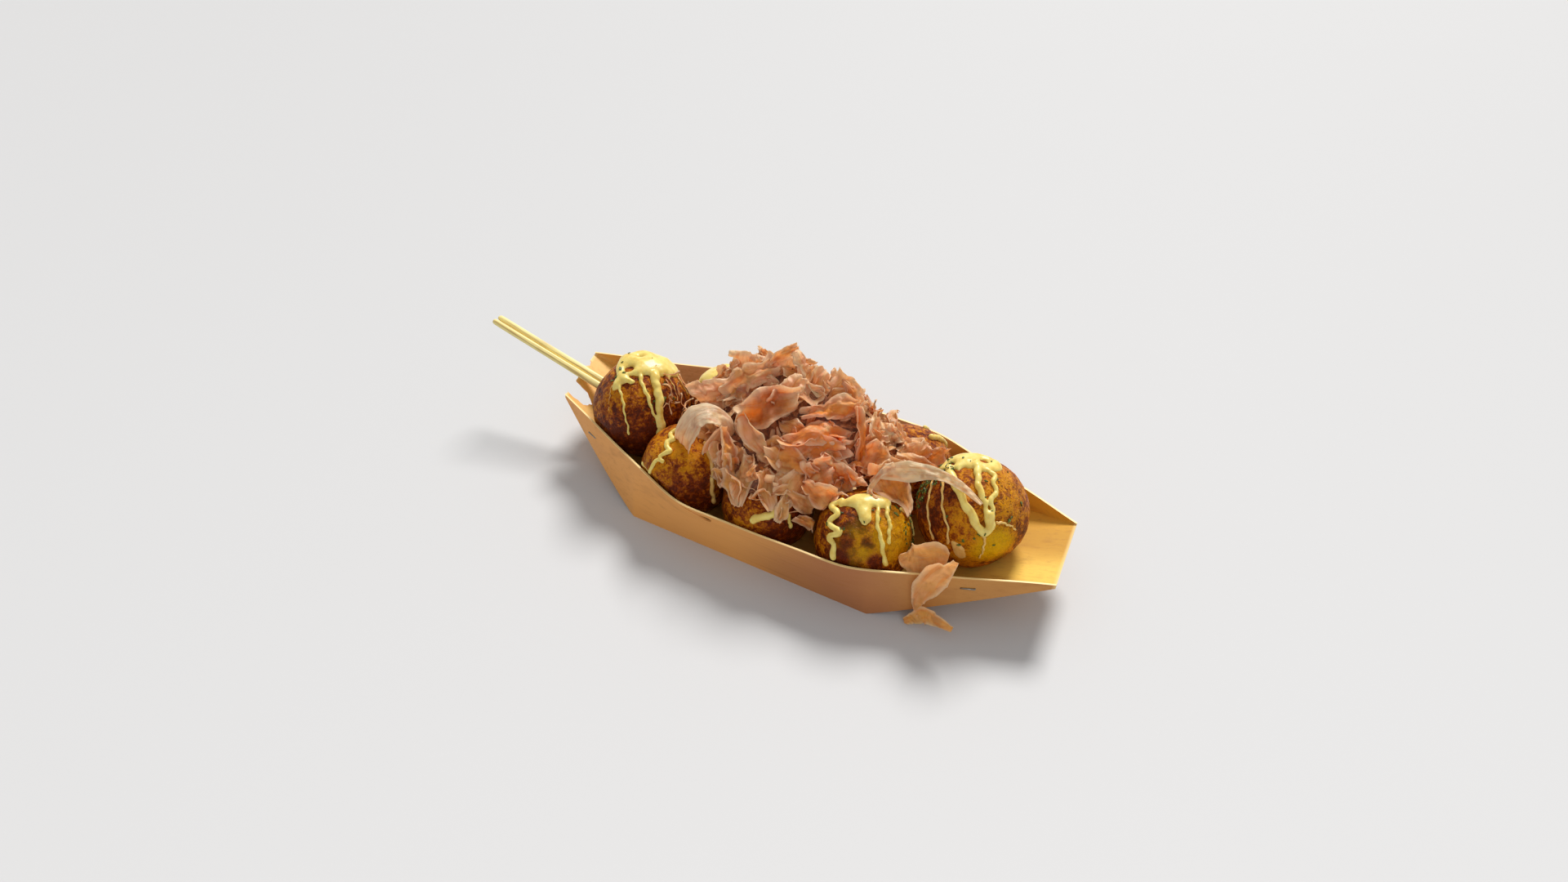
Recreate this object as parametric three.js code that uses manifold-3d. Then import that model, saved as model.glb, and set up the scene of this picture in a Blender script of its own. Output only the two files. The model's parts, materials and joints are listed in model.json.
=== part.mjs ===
// Takoyaki in a folded wooden boat tray: eight balls with sauce, a heap of bonito flakes and
// two bamboo picks. Millimetres, +Z up. The origin is the middle of the tray's flat floor, on
// the surface that the tray stands on; +X runs along the tray to its lower tip.

import * as THREE from 'three';
import { mergeVertices } from 'three/addons/utils/BufferGeometryUtils.js';
import Module from 'manifold-3d';

const wasm = await Module();
wasm.setup();

// ---------------------------------------------------------------- driving dimensions

const GAP = 0.3; // air between neighbouring solids
const WALL_ROOM = 1.1; // air that a ball keeps to the tray's side walls
const COARSE = { detail: 2, room: 0.5 }; // faces of a ball's clearance and its extra air

// The tray: one thin sheet of wood, floor flat in the middle, ends folded up to two tips each.
const TRAY = {
  sheet: 1.0,
  floor: { left: -60, right: 54, halfLeft: 43, halfRight: 45.5 },
  rim: { half: 48.7, height: 24, taper: 0.4, blend: 1.6 },
  tips: {
    left: { front: [-114, -16], back: [-122, 18.5], height: 28.5, hollow: 1.3 },
    right: { front: [119.6, -18.7], back: [116.5, 19.5], height: 22.8, hollow: 1.12 },
  },
  lip: 0.7, // how far a tip's wall stands above its end panel
  stations: { end: 5, floor: 8 }, // cross sections along an end and along the floor
};

// The torn corner of the left end: a round bite beside the front tip and a small nick.
const END_TEAR = {
  bite: { at: [-114, -8.4], radii: [8.6, 4.4], turn: -0.15 },
  nick: { at: [-122.5, 9.5], radii: [3.4, 3.2], turn: 0.2 },
};

// The split in the front wall just under its rim: it widens along the grain to a small hole.
const RIM_SPLIT = { from: [-31.5, 23.2], to: [-17, 20.9], width: 2.6 };

// The balls. Each sits in the tray on its own flattened foot. sauce lists what is poured on it,
// with directions from the ball's centre as [azimuth, elevation] in degrees: a spread has its
// middle and its outline, a drip the places that it runs through and its width at both ends.
const BALLS = [
  {
    name: 'ball_left_end', at: [-77.5, -6.2, 29.5], radius: 22.2, seed: 1.3, detail: 4,
    sauce: [
      {
        spread: [-12, 84], deep: 2.3,
        outline: [
          [-107, 48], [-116, 55], [-126, 62], [-160, 62], [170, 56], [160, 46], [130, 42], [100, 43],
          [75, 38], [60, 34], [47, 38], [33, 44], [26, 50], [15, 52], [8, 60], [-10, 69], [-27, 74],
          [-50, 73], [-70, 63], [-86, 63], [-97, 56],
        ],
      },
      { drip: [[-104, 58], [-88, 50], [-76, 30], [-72, 17], [-71, 4]], width: [1.7, 1.1] },
      { drip: [[-51, 75], [-44, 54], [-40, 34], [-36, 9]], width: [2.2, 1.4] },
      { drip: [[-4, 68], [-23, 48], [-31, 27], [-33, 12], [-36, 1]], width: [4.4, 3.0] },
    ],
  },
  {
    name: 'ball_front_left', at: [-41.5, -25.5, 21.2], radius: 20.2, seed: 4.1, detail: 4,
    sauce: [
      {
        drip: [
          [150, 78], [-161, 72], [-114, 74], [-126, 67], [-112, 62], [-95, 60], [-104, 55], [-109, 48],
          [-97, 45], [-111, 42], [-112, 31], [-114, 22], [-127, 21], [-142, 17],
        ],
        width: [2.7, 1.5], stride: 3.4,
      },
      { drip: [[5, 62], [-14, 40], [-22, 23], [-27, 7], [-24, -12]], width: [2.6, 1.9] },
    ],
  },
  {
    name: 'ball_front_middle', at: [-0.5, -27, 20.6], radius: 19.6, seed: 2.2, detail: 3,
    sauce: [
      { drip: [[-80, 21], [-72, 26], [-62, 28], [-53, 31], [-44, 40]], width: [3.4, 3.0], stride: 3.5 },
      { drip: [[-36, 40], [-35, 25], [-34, 10]], width: [2.0, 1.6] },
      { drip: [[-20, 60], [-28, 50], [-34, 38]], width: [2.4, 1.8] },
    ],
  },
  {
    name: 'ball_front_right', at: [43, -26.5, 21], radius: 19.7, seed: 5.7, detail: 4,
    sauce: [
      {
        spread: [-85, 82], deep: 2.0,
        outline: [
          [-165, 56], [-172, 66], [150, 74], [70, 72], [43, 62], [26, 60], [4, 68], [-27, 77],
          [-44, 72], [-50, 63], [-66, 57], [-78, 61], [-93, 69], [-120, 73], [-144, 66], [-150, 58],
        ],
      },
      {
        drip: [
          [-165, 62], [-160, 49], [-130, 54], [-131, 40], [-107, 41], [-115, 30], [-106, 26], [-102, 11],
        ],
        width: [2.7, 2.5], stride: 3.8,
      },
      { drip: [[0, 76], [-38, 60], [-42, 37], [-40, 10]], width: [1.9, 2.1] },
      { drip: [[33, 66], [-4, 62], [-19, 51], [-32, 34]], width: [2.2, 1.7] },
      { drip: [[34, 46], [35, 21], [24, 8]], width: [1.8, 1.3] },
    ],
  },
  {
    name: 'ball_right_end', at: [78.5, -1.5, 31], radius: 22.2, seed: 3.4, detail: 4,
    sauce: [
      {
        spread: [148, 73], deep: 1.5,
        outline: [
          [-174, 42], [178, 48], [162, 48], [150, 50], [135, 50], [115, 52], [95, 55], [70, 55],
          [52, 58], [34, 66], [22, 76], [0, 82], [-80, 86], [-150, 79], [-145, 72], [-157, 68],
          [-168, 58], [-168, 50],
        ],
      },
      { drip: [[120, 80], [-69, 73], [-61, 57], [-56, 45], [-55, 34]], width: [3.6, 2.0] },
      {
        drip: [[22, 80], [6, 73], [-26, 68], [-31, 57], [-46, 54], [-48, 43], [-50, 26]],
        width: [2.2, 2.2], stride: 4,
      },
      {
        drip: [
          [-164, 62], [-120, 60], [-90, 50], [-74, 38], [-66, 26], [-59, 20], [-54, 26], [-53, 38],
        ],
        width: [3.6, 3.4], stride: 4.6,
      },
    ],
  },
  {
    name: 'ball_back_left', at: [-49.5, 19.5, 20.8], radius: 19.4, seed: 0.6, detail: 3,
    sauce: [
      {
        spread: [-178, 83], deep: 1.8,
        outline: [
          [-150, 50], [-131, 60], [-93, 64], [-50, 70], [0, 66], [60, 52], [110, 50], [160, 48],
        ],
      },
      { drip: [[112, 52], [108, 30], [104, 12], [100, -4]], width: [2.4, 1.8] },
    ],
  },
  {
    name: 'ball_back_middle', at: [-2, 22, 20.5], radius: 19.5, seed: 6.2, detail: 3,
    sauce: [
      { drip: [[84, 30], [88, 8], [90, -8]], width: [2.8, 2.0] },
      { drip: [[60, 34], [66, 16], [62, 2]], width: [2.0, 1.6] },
    ],
  },
  {
    name: 'ball_back_right', at: [41, 20, 21], radius: 20, seed: 2.9, detail: 3,
    sauce: [
      { drip: [[36, 60], [50, 34], [58, 6]], width: [3.0, 2.0] },
      { drip: [[80, 50], [84, 28], [88, 4]], width: [2.2, 1.7] },
    ],
  },
];

// Faces and forms of the sauce. A spread's edge and middle underside lie within the crust, and a
// drip's section is a flattened ring that stands a little proud of it.
const SPREAD = { rings: [0.5, 0.85, 1], edge: -0.3, sunk: -3 };
const DRIP = { sides: 4, stride: 6, lift: 0.2, flat: 0.8, taper: 0.6 };

// The heap of bonito flakes: a mound over the back row that runs down over the front row. Its
// top is an oval ridge, its foot an outline round centre as [azimuth, reach, height].
const HEAP = {
  centre: [-6, 4],
  ridge: { at: [-6, 10], radii: [26, 4], top: [-12, 64], fall: 9, span: 32 },
  foot: [
    [2, 53, 36], [22, 50, 32], [45, 40, 29], [78, 38, 29], [117, 43, 29], [144, 46, 32],
    [164, 43, 38], [182, 43, 44], [204, 42, 44], [230, 40, 39], [257, 42, 35], [283, 44, 34],
    [304, 42, 35], [331, 44, 38],
  ],
  bulge: 1.25, sides: 28, rings: [0.25, 0.5, 0.75, 1], rough: 1.2,
  under: { inset: 0.88, drop: 3, middle: 36 },
};

// Axes of the heap's front slope: to its right, up along it and straight out of it.
const SLOPE = { right: [0.878, 0.479, 0], up: [-0.301, 0.553, 0.777], out: [0.372, -0.682, 0.63] };

// The large flakes, each a curved sheet of shaved fish. at is its middle; turn is the heading
// of its length in the slope, pitch lifts its far end outwards and roll turns it about its
// length; curl bends it along its length and cup across it. All angles are in degrees.
const LARGE_FLAKES = [
  { at: [-30, 7, 58], size: [17, 17], turn: 84, pitch: 22, roll: -12, curl: 20, cup: 40 },
  { at: [-14.5, 7, 61], size: [21, 19], turn: 76, pitch: 24, roll: 8, curl: 34, cup: 46 },
  { at: [-12.5, 9, 71], size: [14, 6], turn: 30, pitch: 16, roll: 20, curl: -40, cup: 40 },
  { at: [-4.5, 10, 66], size: [16, 9], turn: 116, pitch: 20, roll: 22, curl: 24, cup: 36 },
  { at: [2.5, 8, 61], size: [14, 10], turn: 55, pitch: 10, roll: -20, curl: 40, cup: 30 },
  { at: [12.5, 10, 56], size: [21, 18], turn: 60, pitch: 18, roll: 4, curl: 26, cup: 44 },
  { at: [20, 11, 56.5], size: [16, 9], turn: 124, pitch: 10, roll: 20, curl: 40, cup: 30 },
  { at: [-24, -2, 61], size: [30, 15], turn: 24, pitch: 0, roll: -18, curl: 46, cup: 56 },
  { at: [-36, -8, 54], size: [25, 13], turn: 8, pitch: -6, roll: 14, curl: 50, cup: 36 },
  { at: [-5, -5, 61], size: [24, 13], turn: 42, pitch: 6, roll: 24, curl: 30, cup: 50 },
  { at: [15, 0, 58.5], size: [28, 13], turn: 8, pitch: 0, roll: -22, curl: 44, cup: 44 },
  { at: [-10, -12, 58], size: [30, 20], turn: 18, pitch: 0, roll: 10, curl: -34, cup: -76 },
  { at: [14, -12, 53], size: [34, 15], turn: 6, pitch: 0, roll: -30, curl: 40, cup: 60 },
  { at: [15, -17, 49.5], size: [31, 11], turn: -6, pitch: 0, roll: 34, curl: 30, cup: -50 },
  { at: [30, -4, 50], size: [29, 7], turn: 94, pitch: 0, roll: 30, curl: 34, cup: 60 },
  { at: [36.5, -7, 45], size: [17, 13], turn: 58, pitch: 6, roll: -14, curl: 24, cup: 40 },
  { at: [31.5, 5, 49], size: [17, 10], turn: 76, pitch: 4, roll: 14, curl: 40, cup: 40 },
  { at: [-7, -24, 49], size: [24, 10], turn: -58, pitch: 0, roll: 26, curl: 40, cup: -46 },
  { at: [9, -25, 46], size: [24, 13], turn: -22, pitch: 4, roll: -24, curl: 36, cup: 50 },
  { at: [-18, -29, 43], size: [24, 9], turn: 104, pitch: -4, roll: 30, curl: 50, cup: -50 },
  { at: [-7, -36, 38.5], size: [20, 13], turn: 82, pitch: -8, roll: -22, curl: 44, cup: 56 },
  { at: [3, -36, 38.5], size: [19, 11], turn: 104, pitch: -6, roll: 20, curl: 36, cup: -50 },
  { at: [17, -28, 39.5], size: [26, 20], turn: 34, pitch: 0, roll: -8, curl: 46, cup: 44 },
  { at: [30, -18, 42], size: [24, 9], turn: -38, pitch: 0, roll: 20, curl: 40, cup: 50 },
  { at: [46.5, -9, 42.5], size: [23, 14], turn: -66, pitch: -8, roll: -16, curl: 62, cup: -50 },
  { at: [49, 11, 41], size: [15, 11], turn: 14, pitch: 10, roll: 10, curl: 40, cup: 40 },
  { at: [34, 10, 44.5], size: [16, 13], turn: 100, pitch: 8, roll: -10, curl: 50, cup: 40 },
  { at: [46, 10, 38.5], size: [16, 12], turn: 76, pitch: 0, roll: 10, curl: 40, cup: 50 },
  { at: [56, 14, 38], size: [17, 12], turn: 40, pitch: -4, roll: 10, curl: 60, cup: 40 },
  { at: [50, 4, 39], size: [17, 12], turn: -20, pitch: -4, roll: 0, curl: 50, cup: 40 },
];

// The flake that stands in an arch at the heap's left front, bent round its hub.
const ARCHED_FLAKE = {
  path: [
    [-39.3, -31.8, 37], [-38.6, -29.5, 45], [-35.6, -25.5, 51.5], [-30, -22.9, 54], [-24.8, -20.8, 51],
    [-22.6, -21, 45], [-21.7, -22.6, 38],
  ],
  widths: [9, 13, 13, 9.5, 7.5, 7, 5], face: [0.372, -0.682, 0.63], hub: [-30, -26, 43], lean: 0.9,
};

// Smaller flakes that fill the heap between the large ones, round all its sides.
const SMALL_FLAKES = {
  count: 5, seed: 11, length: [14, 24], ratio: [0.4, 0.7], tilt: 32, curl: [30, 80], cup: 50, lift: 1.4,
};

// What all flakes share: their thickness, their faces along and across (a flake of less than the
// area middle has fewer), the depth of their ripples and how ragged their edges are.
const FLAKE = {
  thick: 1.0, cells: { large: [4, 2], middle: [3, 2], small: [3, 1] }, middle: 260,
  ripple: 0.9, ragged: 0.14,
};

// Three flakes that lie apart from the heap: one over the right end ball, one hanging over the
// front rim and one leaning inside that rim. Each has one or more ribbons, which follow a path of
// points with widths spread evenly along it.
const LOOSE_FLAKES = [
  {
    name: 'flake_over_right_ball',
    ribbons: [{
      path: [[43, -15, 47], [54, -12, 49.5], [66, -11, 51.8], [76.5, -13.6, 52.4], [86, -16.6, 49.6]],
      widths: [6, 8.5, 4.6, 3.2, 1.4], face: [0.3, -0.6, 0.75],
    }],
  },
  {
    name: 'flake_over_rim',
    ribbons: [
      {
        path: [
          [85, -36.6, 36.5], [83, -37.2, 32.5], [79, -38.4, 27.6], [75.6, -40.3, 20.5],
          [73.6, -40.9, 14.5], [73.4, -41.2, 9.5], [75.4, -41.8, 7.6],
        ],
        widths: [2.4, 4.6, 11.5, 10.5, 5.5, 3, 3], face: [0.2, -0.9, 0.35],
      },
      {
        path: [[69.6, -42.6, 1.6], [73, -42.4, 4.6], [77, -42.2, 8.2], [82, -42.8, 8.6], [89, -42.6, 7]],
        widths: [2.6, 5.4, 7.6, 5.4, 2.2], face: [0.2, -0.9, 0.35],
      },
    ],
  },
  {
    name: 'flake_inside_rim',
    ribbons: [{
      path: [
        [61.6, -34.2, 26.4], [64.4, -33.8, 25.6], [67.4, -33.2, 25.7], [71, -32.6, 27.2],
        [75.4, -31.8, 29.4], [80, -31, 29],
      ],
      widths: [1.5, 8, 14.4, 14.8, 15, 8.4], face: [0.25, -0.93, 0.25],
    }],
  },
];
const RIBBON = { steps: 9, across: [-1, -0.33, 0.33, 1], ripple: 0.5 };

// The two bamboo picks, stuck side by side in the left end ball and resting on the tray's edge.
const PICK = {
  tip: [-167.5, 0.9, 44], rest: [-115, -1.6, 31.5], length: 90, thick: 3.3, thin: 2.8, apart: 3.7, sides: 8,
};

// ---------------------------------------------------------------- helpers

const v3 = (x, y, z) => new THREE.Vector3(x, y, z);
const lerp = THREE.MathUtils.lerp;
const clamp01 = (t) => THREE.MathUtils.clamp(t, 0, 1);
const softMin = (a, b, k) => -k * Math.log(Math.exp(-a / k) + Math.exp(-b / k));

// A closed mesh from shared vertices and triangles, turned so that its faces point out.
function closedSolid(points, triangles) {
  let volume = 0;
  for (const [a, b, c] of triangles) volume += points[a].dot(points[b].clone().cross(points[c]));
  const turned = volume > 0 ? triangles : triangles.map(([a, b, c]) => [a, c, b]);
  return new wasm.Manifold(new wasm.Mesh({
    numProp: 3,
    vertProperties: Float32Array.from(points.flatMap((p) => [p.x, p.y, p.z])),
    triVerts: Uint32Array.from(turned.flat()),
  }));
}

// A solid between two grids of points that lie face to face, closed along its four borders.
function sheetSolid(face, back) {
  const rows = face.length;
  const columns = face[0].length;
  const points = [...face.flat(), ...back.flat()];
  const id = (side, r, c) => side * rows * columns + r * columns + c;
  const triangles = [];
  for (let r = 0; r + 1 < rows; r++) {
    for (let c = 0; c + 1 < columns; c++) {
      const [a, b, d, e] = [[r, c], [r, c + 1], [r + 1, c + 1], [r + 1, c]];
      for (const [p, q, t] of [[a, b, d], [a, d, e]]) {
        triangles.push([id(0, ...p), id(0, ...q), id(0, ...t)], [id(1, ...p), id(1, ...t), id(1, ...q)]);
      }
    }
  }
  const border = [];
  for (let c = 0; c + 1 < columns; c++) border.push([0, c]);
  for (let r = 0; r + 1 < rows; r++) border.push([r, columns - 1]);
  for (let c = columns - 1; c > 0; c--) border.push([rows - 1, c]);
  for (let r = rows - 1; r > 0; r--) border.push([r, 0]);
  border.forEach((a, i) => {
    const b = border[(i + 1) % border.length];
    triangles.push([id(0, ...b), id(0, ...a), id(1, ...a)]);
    triangles.push([id(0, ...b), id(1, ...a), id(1, ...b)]);
  });
  return closedSolid(points, triangles);
}

// A solid through closed rings of points, with a single point at each end.
function spindleSolid(start, rings, end) {
  const sides = rings[0].length;
  const points = [start, ...rings.flat(), end];
  const id = (ring, side) => 1 + ring * sides + (side % sides);
  const triangles = [];
  for (let s = 0; s < sides; s++) {
    triangles.push([0, id(0, s), id(0, s + 1)]);
    for (let r = 0; r + 1 < rings.length; r++) {
      triangles.push([id(r, s), id(r + 1, s), id(r + 1, s + 1)]);
      triangles.push([id(r, s), id(r + 1, s + 1), id(r, s + 1)]);
    }
    triangles.push([points.length - 1, id(rings.length - 1, s + 1), id(rings.length - 1, s)]);
  }
  return closedSolid(points, triangles);
}

// A three.js geometry as a solid: only its positions are kept, and equal ones are merged.
function solidOf(geometry) {
  geometry.deleteAttribute('normal');
  geometry.deleteAttribute('uv');
  const merged = mergeVertices(geometry, 1e-4);
  const at = merged.getAttribute('position');
  const points = Array.from({ length: at.count }, (_, i) => v3(at.getX(i), at.getY(i), at.getZ(i)));
  const corners = Array.from(merged.getIndex().array);
  const triangles = [];
  for (let i = 0; i < corners.length; i += 3) triangles.push(corners.slice(i, i + 3));
  return closedSolid(points, triangles);
}

// The largest body of a solid: loose scraps and the shells of sealed hollows are left behind.
function largestBody(solid) {
  const bodies = solid.decompose();
  return bodies.reduce((best, body) => (body.volume() > best.volume() ? body : best));
}

function meshOf(name, solid, material) {
  const { vertProperties, triVerts, numProp } = solid.getMesh();
  const geometry = new THREE.BufferGeometry();
  const positions = new Float32Array((vertProperties.length / numProp) * 3);
  for (let i = 0; i * numProp < vertProperties.length; i++) {
    positions.set(vertProperties.subarray(i * numProp, i * numProp + 3), i * 3);
  }
  geometry.setAttribute('position', new THREE.BufferAttribute(positions, 3));
  geometry.setIndex(new THREE.BufferAttribute(Uint32Array.from(triVerts), 1));
  geometry.computeVertexNormals();
  const mesh = new THREE.Mesh(geometry, material);
  mesh.name = name;
  return mesh;
}

// A direction from an azimuth round +Z and an elevation, both in degrees.
function direction([azimuth, elevation]) {
  const a = THREE.MathUtils.degToRad(azimuth);
  const e = THREE.MathUtils.degToRad(elevation);
  return v3(Math.cos(e) * Math.cos(a), Math.cos(e) * Math.sin(a), Math.sin(e));
}

// Repeatable draws between 0 and 1.
function drawsFrom(seed) {
  let state = seed;
  return () => {
    state = (state * 16807) % 2147483647;
    return state / 2147483647;
  };
}

// ---------------------------------------------------------------- tray

const endOf = (x) => (x < 0 ? 'left' : 'right');
const sideOf = (y) => (y < 0 ? 'front' : 'back');

// The fold line between floor or end panel and side wall, at a length x, on the outer face.
function foldAt(side, x) {
  const tip = TRAY.tips[endOf(x)];
  const [tipX, tipY] = tip[side];
  const sign = side === 'front' ? -1 : 1;
  const { left, right, halfLeft, halfRight } = TRAY.floor;
  const corner = x < 0 ? left : right;
  const half = lerp(halfLeft, halfRight, clamp01((x - left) / (right - left)));
  const out = clamp01((x - corner) / (tipX - corner));
  return { y: lerp(sign * half, tipY, out), z: tip.height * out ** tip.hollow };
}

// The top edge of a side wall at a length x, on the outer face.
function rimAt(side, x) {
  const tip = TRAY.tips[endOf(x)];
  const [tipX, tipY] = tip[side];
  const { half, height, taper, blend } = TRAY.rim;
  const sign = side === 'front' ? -1 : 1;
  const y = softMin(half, Math.abs(tipY) + taper * Math.abs(tipX - x), blend);
  const rise = (x / tipX) ** 2;
  const edge = tip.height + TRAY.sheet + TRAY.lip;
  return { y: sign * y, z: lerp(height, edge, rise) };
}

// Height of the tray's inner face under a point: the floor or an end panel.
function trayFloorAt(x, y) {
  const tip = TRAY.tips[endOf(x)];
  const across = clamp01((y - tip.front[1]) / (tip.back[1] - tip.front[1]));
  const tipX = lerp(tip.front[0], tip.back[0], across);
  const corner = x < 0 ? TRAY.floor.left : TRAY.floor.right;
  return TRAY.sheet + tip.height * clamp01((x - corner) / (tipX - corner)) ** tip.hollow;
}

// Half width inside the tray at a point's side. Above the rim it opens outwards.
function trayHalfAt(x, y, z) {
  const side = sideOf(y);
  const fold = foldAt(side, x);
  const rim = rimAt(side, x);
  const rise = clamp01((z - fold.z) / (rim.z - fold.z));
  const above = Math.max(0, z - rim.z - 2);
  return Math.abs(lerp(fold.y, rim.y, rise)) - TRAY.sheet + above;
}

function ovalCutter({ at, radii, turn }) {
  const outline = new THREE.Shape();
  outline.absellipse(at[0], at[1], radii[0], radii[1], 0, 2 * Math.PI, false, turn);
  const height = 2 * TRAY.tips.left.height;
  const options = { depth: height, bevelEnabled: false, curveSegments: 5 };
  return solidOf(new THREE.ExtrudeGeometry(outline, options));
}

// The split is a long thin wedge, cut straight through the wall.
function splitCutter() {
  const [x0, z0] = RIM_SPLIT.from;
  const [x1, z1] = RIM_SPLIT.to;
  const outline = new THREE.Shape([
    new THREE.Vector2(x0, z0), new THREE.Vector2(x1, z1 - RIM_SPLIT.width * 0.5),
    new THREE.Vector2(x1 + 1.4, z1 + 0.2), new THREE.Vector2(x1, z1 + RIM_SPLIT.width * 0.4),
  ]);
  const depth = 8;
  const cutter = new THREE.ExtrudeGeometry(outline, { depth, bevelEnabled: false });
  cutter.rotateX(Math.PI / 2);
  cutter.translate(0, -TRAY.rim.half + depth / 2, 0);
  return solidOf(cutter);
}

// Lengths of the tray's cross sections on one side, from the left tip to the right tip.
function stationsOf(side) {
  const { left, right } = TRAY.floor;
  const { end, floor } = TRAY.stations;
  const stops = [TRAY.tips.left[side][0], left, right, TRAY.tips.right[side][0]];
  const counts = [end, floor, end];
  const lengths = [stops[0]];
  counts.forEach((count, i) => {
    for (let k = 1; k <= count; k++) lengths.push(lerp(stops[i], stops[i + 1], k / count));
  });
  return lengths;
}

// Points across the tray from one rim down a wall, over the floor and up to the other rim.
// inside is how far the points lie within the outer face, and top how far above the rim.
function trayRow(xf, xb, inside, top) {
  const [foldF, foldB] = [foldAt('front', xf), foldAt('back', xb)];
  const [rimF, rimB] = [rimAt('front', xf), rimAt('back', xb)];
  const [lowF, lowB, topF, topB] = [foldF.y + inside, foldB.y - inside, rimF.y + inside, rimB.y - inside];
  const floorPoint = (t) => v3(lerp(xf, xb, t), lerp(lowF, lowB, t), lerp(foldF.z, foldB.z, t) + inside);
  return [
    v3(xf, topF, rimF.z + top),
    v3(xf, lerp(lowF, topF, 0.5), lerp(foldF.z, rimF.z, 0.5)),
    ...[0, 0.25, 0.5, 0.75, 1].map(floorPoint),
    v3(xb, lerp(lowB, topB, 0.5), lerp(foldB.z, rimB.z, 0.5)),
    v3(xb, topB, rimB.z + top),
  ];
}

// grow makes the sheet thicker on all sides, for cutting clearance into what lies on the tray.
function traySolid(grow = 0) {
  const back = stationsOf('back');
  const rows = (inside) => stationsOf('front').map((xf, i) => trayRow(xf, back[i], inside, grow));
  return sheetSolid(rows(-grow), rows(TRAY.sheet + grow));
}

function makeTray() {
  const cutters = [ovalCutter(END_TEAR.bite), ovalCutter(END_TEAR.nick), splitCutter()];
  return largestBody(cutters.reduce((tray, cutter) => tray.subtract(cutter), traySolid()));
}

// ---------------------------------------------------------------- balls and their sauce

// Slow lumps of a ball's crust, as a factor on its radius.
function lumpiness(dir, seed) {
  return 1
    + 0.012 * Math.sin(3.1 * dir.x + 2.3 * dir.y + seed)
    + 0.010 * Math.sin(4.3 * dir.y - 3.7 * dir.z + 2.1 * seed)
    + 0.008 * Math.sin(5.9 * dir.z + 4.7 * dir.x + 3.3 * seed);
}

// Presses a point out of the tray's floor and walls and back over the flats that a ball shares
// with the balls it touches.
function pressed(point, ball) {
  const p = point.clone();
  const centre = v3(...ball.at);
  for (const other of BALLS) {
    if (other === ball) continue;
    const apart = v3(...other.at).sub(centre);
    const distance = apart.length();
    const share = (distance + (ball.radius ** 2 - other.radius ** 2) / distance) / 2 - GAP / 2;
    const normal = apart.normalize();
    const over = p.clone().sub(centre).dot(normal) - share;
    if (over > 0) p.addScaledVector(normal, -over);
  }
  const half = trayHalfAt(p.x, p.y, p.z) - WALL_ROOM;
  if (Math.abs(p.y) > half) p.y = Math.sign(p.y) * half;
  p.z = Math.max(p.z, trayFloorAt(p.x, p.y) + 2 * GAP);
  return p;
}

function onBall(ball, dir, lift = 0) {
  const radius = ball.radius * lumpiness(dir, ball.seed) + lift;
  return v3(...ball.at).addScaledVector(dir, radius);
}

function crustSolid(ball, grow, detail = ball.detail) {
  const geometry = new THREE.IcosahedronGeometry(1, detail);
  const at = geometry.getAttribute('position');
  for (let i = 0; i < at.count; i++) {
    const dir = v3(at.getX(i), at.getY(i), at.getZ(i)).normalize();
    const p = pressed(onBall(ball, dir), ball).addScaledVector(dir, grow);
    at.setXYZ(i, p.x, p.y, p.z);
  }
  return solidOf(geometry);
}

// A spread of sauce: a shallow lens over a direction, out to its outline.
function spreadSolid(ball, { spread, outline, deep }, grow) {
  const axis = direction(spread);
  const rings = SPREAD.rings.map((ring) => outline.map((corner) => {
    const edge = direction(corner);
    const side = edge.clone().addScaledVector(axis, -edge.dot(axis)).normalize();
    const angle = axis.angleTo(edge) * ring + grow / ball.radius;
    const dir = axis.clone().multiplyScalar(Math.cos(angle)).addScaledVector(side, Math.sin(angle));
    const lift = ring === 1 ? SPREAD.edge : deep * (1 - ring ** 4);
    return pressed(onBall(ball, dir, lift + grow), ball);
  }));
  return spindleSolid(onBall(ball, axis, deep + grow), rings, onBall(ball, axis, SPREAD.sunk));
}

// A drip of sauce: a flattened bead along the crust through the given directions.
function dripSolid(ball, { drip, width, stride = DRIP.stride }, grow) {
  const guide = new THREE.CatmullRomCurve3(drip.map(direction));
  const steps = Math.max(3, Math.round((guide.getLength() * ball.radius) / stride));
  const spine = guide.getSpacedPoints(steps).map((dir) => dir.normalize());
  const rings = spine.map((dir, i) => {
    const forward = spine[Math.min(i + 1, steps)].clone().sub(spine[Math.max(i - 1, 0)]).normalize();
    const across = forward.cross(dir).normalize();
    const taper = i === 0 || i === steps ? DRIP.taper : 1;
    const half = (lerp(width[0], width[1], i / steps) / 2) * taper + grow;
    return Array.from({ length: DRIP.sides }, (_, k) => {
      const turn = (2 * Math.PI * k) / DRIP.sides;
      const p = onBall(ball, dir, DRIP.lift + half * DRIP.flat * Math.sin(turn));
      return pressed(p.addScaledVector(across, half * Math.cos(turn)), ball);
    });
  });
  const end = (i, from, reach) => {
    const away = spine[i].clone().sub(spine[from]).normalize();
    return pressed(onBall(ball, spine[i], DRIP.lift).addScaledVector(away, reach), ball);
  };
  return spindleSolid(
    end(0, 1, width[0] * 0.3 + grow), rings, end(steps, steps - 1, width[1] * 0.5 + grow),
  );
}

function sauceSolids(ball, grow = 0) {
  const solidFor = (item) => (item.spread ? spreadSolid : dripSolid);
  return ball.sauce.map((item) => solidFor(item)(ball, item, grow));
}

// The ball and its sauce, a gap larger all round, for cutting clearance into what lies on them.
// Its crust has few faces, and stands out a little more so that they stay clear of the finer one.
function ballClearance(ball) {
  const crust = crustSolid(ball, GAP + COARSE.room, COARSE.detail);
  return wasm.Manifold.union([crust, ...sauceSolids(ball, GAP)]);
}

// ---------------------------------------------------------------- bonito flakes

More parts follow.
